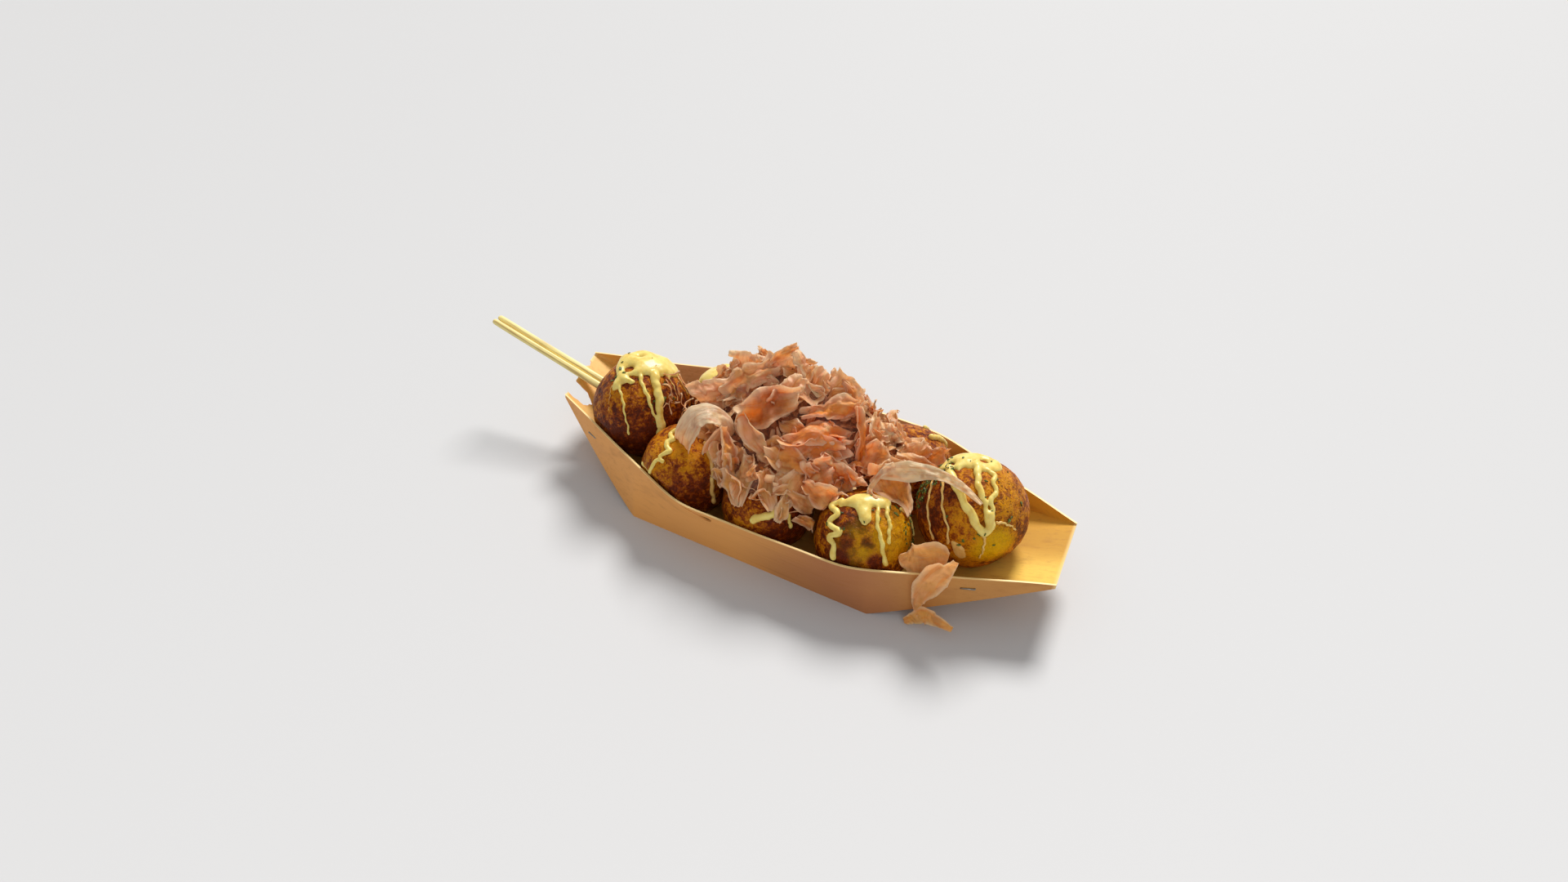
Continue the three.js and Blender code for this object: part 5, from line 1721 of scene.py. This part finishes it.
@dataclass
class Sheet:
    """A thin crumpled sheet in its own axes: x along it, y across it and z out of its face.

    It bends along its length and its width, its borders roll and wave, and a few folds cross it.
    """

    length: float
    width: float
    curl: float
    cup: float
    seed: float
    cells: tuple[int, int]
    ragged: float = 0.07
    fold: float = 0.22
    folds: int = 6
    crumple: float = 0.5
    crumple_size: float = 5.5
    ends: Pair = (0.05, 0.85)
    wave: float = 0.22
    roll: float = 60.0
    twist: float = 0.0
    shear: float = 0.25

    def __post_init__(self) -> None:
        """Readies the shares along and across the sheet, from -1 to 1, and its random numbers."""
        self.u, self.v = np.meshgrid(*(np.linspace(-1, 1, count) for count in self.cells), indexing="ij")
        self.draws = random.Random(self.seed)

    def outline(self) -> Arrays:
        """The flat sheet. Each long border has a corner at both ends and one between them.

        Returns:
            How far each point is along and across it, in millimetres.
        """
        u, v, draws = self.u, self.v, self.draws
        edges = []
        for _ in range(2):
            stops = (-1.0, draws.uniform(-0.6, 0.6), 1.0)
            wide = (draws.uniform(*self.ends), draws.uniform(0.8, 1.1), draws.uniform(*self.ends))
            phase, notch = draws.uniform(0, 9), draws.uniform(-0.8, 0.8)
            rag = 1 + self.ragged * (0.5 * np.sin(5 * u + phase) + 0.3 * np.sin(12 * u + 2 * phase))
            rag = rag + 0.2 * self.ragged * np.sin(41 * u + phase)
            torn = draws.choice((0, 0, 0.5)) * np.exp(-((u - notch) / 0.05) ** 2)
            edges.append(np.interp(u, stops, wide) * rag * (1 - torn))
        y = self.width / 2 * lerp(-edges[0], edges[1], (v + 1) / 2)
        slants = [draws.uniform(-0.3, 0.12) for _ in range(4)]
        share = (v + 1) / 2
        slant = np.where(u < 0, lerp(slants[0], slants[1], share), lerp(slants[2], slants[3], share))
        frayed = 0.3 * self.ragged * np.sin(9 * v + self.seed)
        return u * self.length / 2 * (1 + (slant + frayed) * abs(u)), y

    def headings(self) -> Arrays:
        """How far the sheet is turned at each point.

        Returns:
            The turn along and the turn across, in radians.
        """
        u, v, draws = self.u, self.v, self.draws
        rolls = [radians(draws.uniform(-self.roll, self.roll)) for _ in range(4)]
        ease = [np.clip((side * part - 0.5) / 0.5, 0, 1) ** 2 for part in (u, v) for side in (-1, 1)]
        wave = self.wave * np.sin(4.5 * v + self.seed)
        along = radians(self.curl) * u / 2 - rolls[0] * ease[0] + rolls[1] * ease[1] + 0.5 * wave
        wave = self.wave * (np.sin(4.1 * u + 2 * self.seed) + 0.5 * np.sin(8 * u - 4 * v + self.seed))
        across = radians(self.cup) * v / 2 - rolls[2] * ease[2] + rolls[3] * ease[3] + wave
        return along, across

    @staticmethod
    def walk(heading: Array, reach: Array, axis: int) -> Arrays:
        """Follows a heading over a grid, from its middle outwards.

        Args:
            heading: How far the sheet is turned at each point.
            reach: How far along the flat sheet each point is.
            axis: The grid's axis to follow.

        Returns:
            How far each point gets, and how far it falls.
        """
        steps = np.diff(reach, axis=axis)
        count = heading.shape[axis]
        turned = (np.take(heading, range(1, count), axis) + np.take(heading, range(count - 1), axis)) / 2
        start = np.zeros_like(np.take(reach, [0], axis))
        ahead = np.concatenate([start, np.cumsum(steps * np.cos(turned), axis)], axis)
        down = np.concatenate([start, np.cumsum(steps * np.sin(turned), axis)], axis)
        middle = [count // 2]
        return ahead - np.take(ahead, middle, axis), down - np.take(down, middle, axis)

    def creases(self, x: Array, y: Array) -> Array:
        """The height of a few folds with narrow rounded ridges.

        Args:
            x: How far each point is along the flat sheet.
            y: How far it is across.

        Returns:
            One height for each point.
        """
        draws = self.draws
        height = np.zeros_like(x)
        for _ in range(self.folds):
            turn = draws.uniform(0, pi)
            shift = draws.uniform(-0.3, 0.3) * self.length
            height += draws.uniform(-1, 1) * np.hypot(x * cos(turn) + y * sin(turn) - shift, 0.35)
        return (height - height.mean()) * self.fold

    def grid(self) -> Arrays:
        """Bends, folds and crumples the sheet.

        Returns:
            Its points, how far each is along and across it, and how near to the border.
        """
        flat_x, flat_y = self.outline()
        along, across = self.headings()
        y, drop = self.walk(across, flat_y, 1)
        x, fall = self.walk(along, flat_x, 0)
        flat = np.stack([flat_x, flat_y, np.full_like(flat_x, self.seed)], axis=-1)
        ridges = 1 - 2 * abs(fractal(flat.reshape(-1, 3), self.crumple_size, 2, self.seed))
        crumple = ridges.reshape(flat_x.shape) * self.crumple
        height = self.creases(flat_x, flat_y) - drop + crumple
        x, z = x + height * np.sin(along), height * np.cos(along) - fall
        x = x + self.draws.uniform(-self.shear, self.shear) * y
        turn = radians(self.twist) * self.u
        y, z = y * np.cos(turn) - z * np.sin(turn), y * np.sin(turn) + z * np.cos(turn)
        points = np.stack([x, y, z], axis=-1)
        return points, np.stack([flat_x, flat_y], axis=-1), np.maximum(abs(self.u), abs(self.v))


@dataclass
class SheetStack:
    """Thin sheets that become one mesh: their points, faces, UVs, tones and borders."""

    points: list[Array] = field(default_factory=list)
    faces: list[Face] = field(default_factory=list)
    spots: list[Array] = field(default_factory=list)
    tones: list[Array] = field(default_factory=list)
    borders: list[Array] = field(default_factory=list)
    count: int = 0

    def add(self, grid: Array, spots: Array, border: Array, tone: Array | float) -> None:
        """Adds a sheet.

        Args:
            grid: Its points.
            spots: How far each is along and across it, in millimetres.
            border: How near each is to the border, from 0 to 1.
            tone: The sheet's tone, or one for each point.
        """
        rows, columns = grid.shape[:2]
        self.points.append(grid.reshape(-1, 3))
        self.spots.append(spots.reshape(-1, 2) + np.array([37.0, 11.0]) * len(self.points))
        self.tones.append(np.broadcast_to(tone, (rows, columns)).ravel())
        self.borders.append(border.ravel())
        self.faces += grid_faces(rows, columns, self.count)
        self.count += rows * columns

    def add_ribbon(self, ribbon: Ribbon, cells: tuple[int, int], seed: float) -> None:
        """Adds a flake that follows a path, in one of its ragged shapes."""
        grid, spots = ribbon.grid(cells, seed)
        across = np.broadcast_to(np.linspace(-1, 1, cells[1]), cells)
        self.add(grid, spots, abs(across), lerp(ribbon.tone.value, ribbon.far.value, (across + 1) / 2))

    def build(self, name: str, thick: float) -> Object:
        """Makes the mesh and gives its sheets their thickness.

        Args:
            name: The mesh object's name.
            thick: The thickness, in millimetres.

        Returns:
            The object.
        """
        made = mesh_from(name, np.vstack(self.points), self.faces)
        store_values(made.data, "tone", np.concatenate(self.tones))
        store_values(made.data, "border", np.concatenate(self.borders))
        spots = np.vstack(self.spots)
        corners = np.array([loop.vertex_index for loop in made.data.loops])
        made.data.uv_layers.new(name="UVMap").data.foreach_set("uv", spots[corners].ravel())
        skin = made.modifiers.new("thickness", "SOLIDIFY")
        skin.thickness = thick * MM
        skin.offset = 0.0
        return finished(made)


@dataclass(frozen=True)
class Shapes:
    """Flakes to scatter: how many shapes, their lengths, their widths for a length of one, their cells."""

    name: str
    count: int
    length: Pair
    ratio: Pair
    cells: tuple[int, int]


@dataclass
class BonitoHeap:
    """The heap of bonito flakes: a bed, the large flakes, many small ones and fine shreds."""

    balls: Balls
    centre: Pair = (-6, 4)
    ridge_at: Pair = (-6, 10)
    ridge_radii: Pair = (26, 4)
    ridge_top: Pair = (-12, 64)
    ridge_fall: float = 9.0
    ridge_span: float = 32.0
    foot: tuple[Point, ...] = (
        (2, 53, 36), (22, 50, 32), (45, 40, 29), (78, 38, 29), (117, 43, 29), (144, 46, 32), (164, 43, 38),
        (182, 43, 44), (204, 42, 44), (230, 40, 39), (257, 42, 35), (283, 44, 34), (304, 42, 35),
        (331, 44, 38),
    )
    bulge: float = 1.25
    slope: tuple[Point, Point, Point] = ((0.878, 0.479, 0), (-0.301, 0.553, 0.777), (0.372, -0.682, 0.63))
    thick: float = 0.18
    room: float = 1.3
    edge_roll: float = 72.0
    large_cells: tuple[int, int] = (46, 29)
    small: Shapes = Shapes("small_flake", 24, (12, 21), (0.45, 0.9), (18, 11))
    shreds: Shapes = Shapes("shred", 8, (8, 16), (0.08, 0.16), (14, 4))
    bed_sink: float = 2.6
    bed_rough: float = 1.8
    bare_below: float = 28.0
    front_edge: float = -8.0
    front_top: float = 52.0
    front_crowd: float = 1.8
    back_crowd: float = 3.4
    clearings: tuple[tuple[float, float, float, float], ...] = ((-9, -13, 52, 9), (52, 32, 34, 10))
    shavings: Finish = BonitoShavings()
    bed: Finish = HeapBed()

    def foot_at(self, azimuth: float) -> Pair:
        """The heap's foot at an azimuth.

        Args:
            azimuth: The azimuth, in degrees.

        Returns:
            How far out it is, and its height.
        """
        around = [*self.foot, (self.foot[0][0] + 360, *self.foot[0][1:])]
        turn = azimuth % 360
        place = turn + 360 if turn < around[0][0] else turn
        after = next((k for k, stop in enumerate(around) if stop[0] >= place and k > 0), 1)
        start, end = around[after - 1], around[after]
        ease = (1 - cos(pi * (place - start[0]) / (end[0] - start[0]))) / 2
        return lerp(start[1], end[1], ease), lerp(start[2], end[2], ease)

    def mound(self, azimuth: float, out: float) -> Array:
        """A point on the mound.

        Args:
            azimuth: The azimuth, in degrees.
            out: How far down it is, from 0 on the ridge to 1 at the foot.

        Returns:
            The point.
        """
        turn = radians(azimuth)
        reach, height = self.foot_at(azimuth)
        ridge_x = self.ridge_at[0] + self.ridge_radii[0] * cos(turn)
        ridge_y = self.ridge_at[1] + self.ridge_radii[1] * sin(turn)
        ridge_z = self.ridge_top[1] - self.ridge_fall * ((ridge_x - self.ridge_top[0]) / self.ridge_span) ** 2
        return np.array([
            lerp(ridge_x, self.centre[0] + reach * cos(turn), out),
            lerp(ridge_y, self.centre[1] + reach * sin(turn), out),
            height + (ridge_z - height) * (1 - out**self.bulge),
        ])

    def draped(self, points: Array) -> Array:
        """Lifts points out of the balls, so that a flake drapes over them.

        Args:
            points: The points.

        Returns:
            The moved points.
        """
        moved = points.copy()
        for ball in self.balls.balls:
            away = moved - np.array(ball.at)
            reach = norm(away, axis=-1, keepdims=True)
            clear = ball.radius + self.room
            moved = np.where(reach < clear, np.array(ball.at) + away / reach * clear, moved)
        return moved

    def make_bed(self) -> Object:
        """The mound itself, sunk below its outline, with layered lumps.

        Returns:
            A closed mesh, still without a material.
        """
        azimuths = np.arange(0, 360, 3.0)
        outs = np.linspace(0, 1, 26)
        sides, rows = len(azimuths), len(outs) + 1
        flat = np.array([self.mound(azimuth, out) for out in outs for azimuth in azimuths])
        inward = unit(np.array([*self.centre, 30.0]) - flat)
        lumps = fractal(flat, 9, 4, 2.5) * self.bed_rough
        rings = self.draped(flat + inward * (self.bed_sink + lumps)[:, None])
        under = rings[-sides:] * np.array([0.88, 0.88, 1]) - np.array([0, 0, 3.0])
        ends = [[*self.ridge_at, self.ridge_top[1] - self.bed_sink], [*self.centre, 36.0]]
        faces = [(a, d, c, b) for a, b, c, d in tube_faces(rows, sides)]
        top, bottom, last = rows * sides, rows * sides + 1, (rows - 1) * sides
        faces += [(top, k, (k + 1) % sides) for k in range(sides)]
        faces += [(bottom, last + (k + 1) % sides, last + k) for k in range(sides)]
        return mesh_from("bonito_bed", np.vstack([rings, under, ends]), faces)

    def flake_axes(self, flake: Flake) -> Arrays:
        """A flake's own axes.

        Args:
            flake: The flake.

        Returns:
            The directions of its length, its width and its face.
        """
        right, up, out = (unit(np.array(axis, float)) for axis in self.slope)
        turn, pitch, roll = (radians(angle) for angle in (flake.turn, flake.pitch, flake.roll))
        along = right * cos(turn) + up * sin(turn)
        across = unit(np.cross(out, along))
        along = along * cos(pitch) + np.cross(along, across) * sin(pitch) if pitch else along
        face = np.cross(along, across)
        across = across * cos(roll) + face * sin(roll)
        return along, across, np.cross(along, across)

    def make_large(self) -> None:
        """Makes the large flakes, as one piece."""
        stack = SheetStack()
        for k, flake in enumerate(LARGE_FLAKES):
            sheet = Sheet(*flake.size, flake.curl, flake.cup, 1.7 * k + 0.4, self.large_cells, fold=0.26,
                          roll=self.edge_roll, crumple=0.95, crumple_size=4.4, wave=0.34, ends=flake.ends)
            grid, spots, border = sheet.grid()
            points = np.array(flake.at) + grid @ np.array(self.flake_axes(flake))
            across = np.linspace(0, 1, grid.shape[1])[None] * np.ones((grid.shape[0], 1))
            stack.add(self.draped(points), spots, border, lerp(flake.tone.value, flake.far.value, across))
        stack.add_ribbon(ARCHED_FLAKE, (60, 20), 7.7)
        stack.add_ribbon(HOOKED_FLAKE, (50, 7), 3.1)
        dress(stack.build("bonito_large_flakes", self.thick), self.shavings, "bonito", "bonito_heap")

    def prototypes(self, shapes: Shapes) -> Collection:
        """A few crumpled flakes to scatter, each with its own shape and tone.

        Args:
            shapes: What they are like.

        Returns:
            The collection, outside the scene.
        """
        home = bpy.data.collections.new(shapes.name)
        draws = random.Random(len(shapes.name) * 31 + shapes.count)
        tones = [PINK, TAN, PEACH, PINK, ORANGE, TAN, PEACH, MAUVE]
        for k in range(shapes.count):
            stack = SheetStack()
            long = draws.uniform(*shapes.length)
            bends = ((30, 130), (20, 100))
            curl, cup = (draws.uniform(low, high) * draws.choice((-1, 1)) for low, high in bends)
            sheet = Sheet(long, long * draws.uniform(*shapes.ratio), curl, cup, draws.uniform(0, 50),
                          shapes.cells, roll=70, twist=draws.uniform(-50, 50), shear=0.5)
            grid, spots, border = sheet.grid()
            tone, far = (tones[step % len(tones)].value for step in (k, 3 * k + 2))
            stack.add(grid, spots, border, lerp(tone, far, spots[..., 0] / long + 0.5))
            set_aside(stack.build(f"{shapes.name}_{k}", self.thick * 0.8), home)
        return home

    def build(self) -> None:
        """Makes the heap's bed, its large flakes, and the small ones and shreds between them."""
        bed = self.make_bed()
        place = point_array(bed.data) / MM
        cover = place[:, 2] > self.bare_below
        for *middle, wide in self.clearings:
            cover &= norm(place - np.array(middle), axis=1) > wide
        front = (place[:, 1] < self.front_edge) & (place[:, 2] < self.front_top)
        crowd = np.where(front, self.front_crowd, 1.0)
        crowd = np.where(place[:, 1] > self.centre[1], self.back_crowd, crowd)
        small, shreds = self.prototypes(self.small), self.prototypes(self.shreds)
        scatter = Scatter(self.shavings.material())
        store_values(bed.data, "cover", cover)
        under = scatter.run("bonito_small_flakes", bed.data, small, Density=19000.0, Least=0.6, Most=1.1,
                            Tilt=0.6, Seed=4)
        fine = scatter.run("bonito_shreds", bed.data, shreds, Density=5000.0, Least=0.6, Most=1.1, Tilt=0.6,
                           Lift=0.0015, Seed=9)
        stray = scatter.run("bonito_stray_shreds", self.balls.marked("shreds"), shreds, Density=26000.0,
                            Least=0.4, Most=0.9, Tilt=0.7, Lift=0.0014, Seed=5)
        store_values(bed.data, "cover", cover * crowd)
        top = scatter.run("bonito_top_flakes", bed.data, small, Density=5200.0, Least=0.38, Most=0.72,
                          Tilt=0.9, Lift=0.003, Seed=21)
        for piece in (top, under, fine):
            dress(piece, self.shavings, "bonito", "bonito_heap")
        dress(stray, self.shavings, "bonito")
        self.make_large()
        dress(bed, self.bed, "bonito", "bonito_heap")
        for home in (small, shreds):
            discard(home)


@dataclass
class LooseFlakes:
    """The three flakes that lie apart from the heap."""

    heap: BonitoHeap
    ribbons: tuple[Ribbon, ...] = RIBBONS
    cells: tuple[int, int] = (64, 18)
    # Painted light: a lighter copy of the shavings, for flakes by the rim that catch the light through them.
    shavings: Finish = BonitoShavings(
        "loose_shavings", warm=srgb(255, 206, 120), pale_glow=srgb(255, 240, 214),
        warm_glow=srgb(255, 206, 130), vein=srgb(240, 168, 100), through=0.56)

    def build(self) -> None:
        """Makes the three flakes, each as its own piece."""
        for name in dict.fromkeys(ribbon.name for ribbon in self.ribbons):
            stack = SheetStack()
            for k, ribbon in enumerate(self.ribbons):
                if ribbon.name == name:
                    stack.add_ribbon(ribbon, self.cells, 2.3 * k + 1)
            made = stack.build(name + "_sheet", self.heap.thick)
            dress(made, self.shavings, "bonito", name)


# ---- laver


@dataclass
class Flecks:
    """Fine flecks of green laver on the balls and their sauce."""

    balls: Balls
    kinds: int = 6
    size: Pair = (1.1, 2.3)
    thick: float = 0.14
    laver: Finish = GreenLaver()

    def build(self) -> None:
        """Makes the flecks as one piece."""
        home = bpy.data.collections.new("fleck")
        draws = random.Random(17)
        for k in range(self.kinds):
            long = draws.uniform(*self.size)
            stack = SheetStack()
            sheet = Sheet(long, long * draws.uniform(0.4, 0.9), draws.uniform(-60, 60),
                          draws.uniform(-60, 60), draws.uniform(0, 50), (8, 6), crumple=0.05, fold=0.05)
            stack.add(*sheet.grid(), 0.5)
            set_aside(stack.build(f"fleck_{k}", self.thick), home)
        scatter = Scatter(self.laver.material())
        flecks = scatter.run("laver_flecks", self.balls.marked("flecks"), home, Density=420000.0, Least=0.6,
                             Most=1.2, Tilt=0.5, Lift=0.0002, Seed=3)
        dress(flecks, self.laver, "crust")
        discard(home)


# ---- picks


@dataclass
class Picks:
    """Two bamboo picks, side by side, stuck in the left end ball."""

    tip: Point = (-167.5, 0.9, 44)
    rest: Point = (-115, -1.6, 31.5)
    length: float = 90.0
    thick: float = 3.3
    thin: float = 2.8
    apart: float = 3.7
    sides: int = 24
    bamboo: Finish = Bamboo()

    def pick(self, index: int) -> Object:
        """One pick, with flats left by the knife and a blunt point.

        Args:
            index: Its place in the row, from 0.

        Returns:
            The pick, still without a material.
        """
        heading = unit(np.array(self.rest) - np.array(self.tip))
        beside = unit(np.cross([0.0, 0.0, 1.0], heading))
        raised = np.cross(heading, beside)
        start = np.array(self.tip) + beside * index * self.apart
        long, thin, thick = self.length, self.thin, self.thick
        profile = ((0, 0.01), (0.25, 0.32 * thin), (1.0, 0.46 * thin), (2.2, 0.5 * thin),
                   (0.35 * long, 0.53 * thin), (0.7 * long, 0.5 * thick), (long - 6, 0.5 * thick),
                   (long, 0.18 * thick), (long + 0.4, 0.01))
        reach = np.concatenate([np.linspace(0, 2.2, 8), np.linspace(2.4, long + 0.4, 120)])
        turn = np.linspace(0, 2 * np.pi, self.sides, endpoint=False)
        flats = 1 - 0.05 * np.cos(3 * turn[None] + index) + 0.015 * np.sin(reach[:, None] * 0.13 + index)
        ring = np.interp(reach, *np.array(profile).T)[:, None] * flats
        points = (start + reach[:, None, None] * heading + (ring * np.cos(turn))[..., None] * beside
                  + (ring * np.sin(turn))[..., None] * raised)
        rows, sides = ring.shape
        caps = [tuple(range(sides))[::-1], tuple(range((rows - 1) * sides, rows * sides))]
        made = mesh_from(f"bamboo_pick_{index + 1}", points.reshape(-1, 3), tube_faces(rows, sides) + caps)
        face_outwards(made)
        return made

    def build(self) -> None:
        """Makes both picks."""
        for index in range(2):
            dress(self.pick(index), self.bamboo, "bamboo", f"pick_{index + 1}")


# ---- studio


@dataclass
class Studio:
    """The camera, the floor and the lights."""

    camera_at: Point = (0.16222, -0.31148, 0.32)
    camera_heading: Point = (-0.37245, 0.68161, -0.62983)
    lens: float = 24.354
    sensor: float = 36.0
    near: float = 0.01
    target: Point = (0.0, 0.0, 0.03)
    floor_size: float = 6.0
    ambient: float = 0.44
    sun_from: Point = (-0.1, 0.72, 0.76)
    sun_strength: float = 3.7
    sun_spread: float = 20.0
    sun_colour: Point = (1.0, 0.985, 0.96)
    fill_at: Point = (0.6, -0.7, 0.6)
    fill_wide: float = 0.6
    fill_watts: float = 1.6

    def aimed(self, name: str, data: ID, at: Point, heading: Sequence[float]) -> Object:
        """A light or camera at a place in metres, looking along a heading."""
        thing = placed(name, data)
        thing.location = at
        thing.rotation_euler = Vector(heading).to_track_quat("-Z", "Y").to_euler()
        return thing

    def build(self) -> None:
        """Makes the camera, the floor, the lights and the even light from all round."""
        scene = bpy.context.scene
        lens = bpy.data.cameras.new("camera")
        lens.lens, lens.sensor_width, lens.clip_start = self.lens, self.sensor, self.near
        scene.camera = self.aimed("camera", lens, self.camera_at, self.camera_heading)
        fill = bpy.data.lights.new("fill", "AREA")
        fill.shape, fill.size, fill.energy = "DISK", self.fill_wide, self.fill_watts
        heading = [goal - start for goal, start in zip(self.target, self.fill_at)]
        self.aimed("fill", fill, self.fill_at, heading)
        sun = bpy.data.lights.new("key", "SUN")
        sun.energy, sun.angle, sun.color = self.sun_strength, radians(self.sun_spread), self.sun_colour
        self.aimed("key", sun, self.sun_from, [-part for part in self.sun_from])
        scene.world = bpy.data.worlds.new("even_light")
        scene.world.use_nodes = True
        sky = scene.world.node_tree.nodes["Background"].inputs
        sky["Color"].default_value = (1.0, 1.0, 1.0, 1.0)
        sky["Strength"].default_value = self.ambient
        scene.view_settings.view_transform = "Standard"
        half = self.floor_size / 2 / MM
        points = [(x * half, y * half, 0) for x, y in ((-1, -1), (1, -1), (1, 1), (-1, 1))]
        floor = mesh_from("floor", np.array(points), [(0, 1, 2, 3)])
        floor.data.materials.append(StudioFloor().material())


def corners(box: Sequence[Sequence[float]]) -> list[list[float]]:
    """A box's lowest and highest corners as plain lists."""
    return [list(map(float, corner)) for corner in box]


def main() -> None:
    """Builds every sub-assembly in order."""
    logging.basicConfig(level=logging.INFO, format="%(name)s: %(message)s")
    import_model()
    Studio().build()
    tray = Tray()
    tray.build()
    Staples(tray).build()
    balls = Balls(tray)
    balls.build()
    heap = BonitoHeap(balls)
    heap.build()
    LooseFlakes(heap).build()
    Flecks(balls).build()
    Picks().build()


if __name__ == "__main__":
    main()
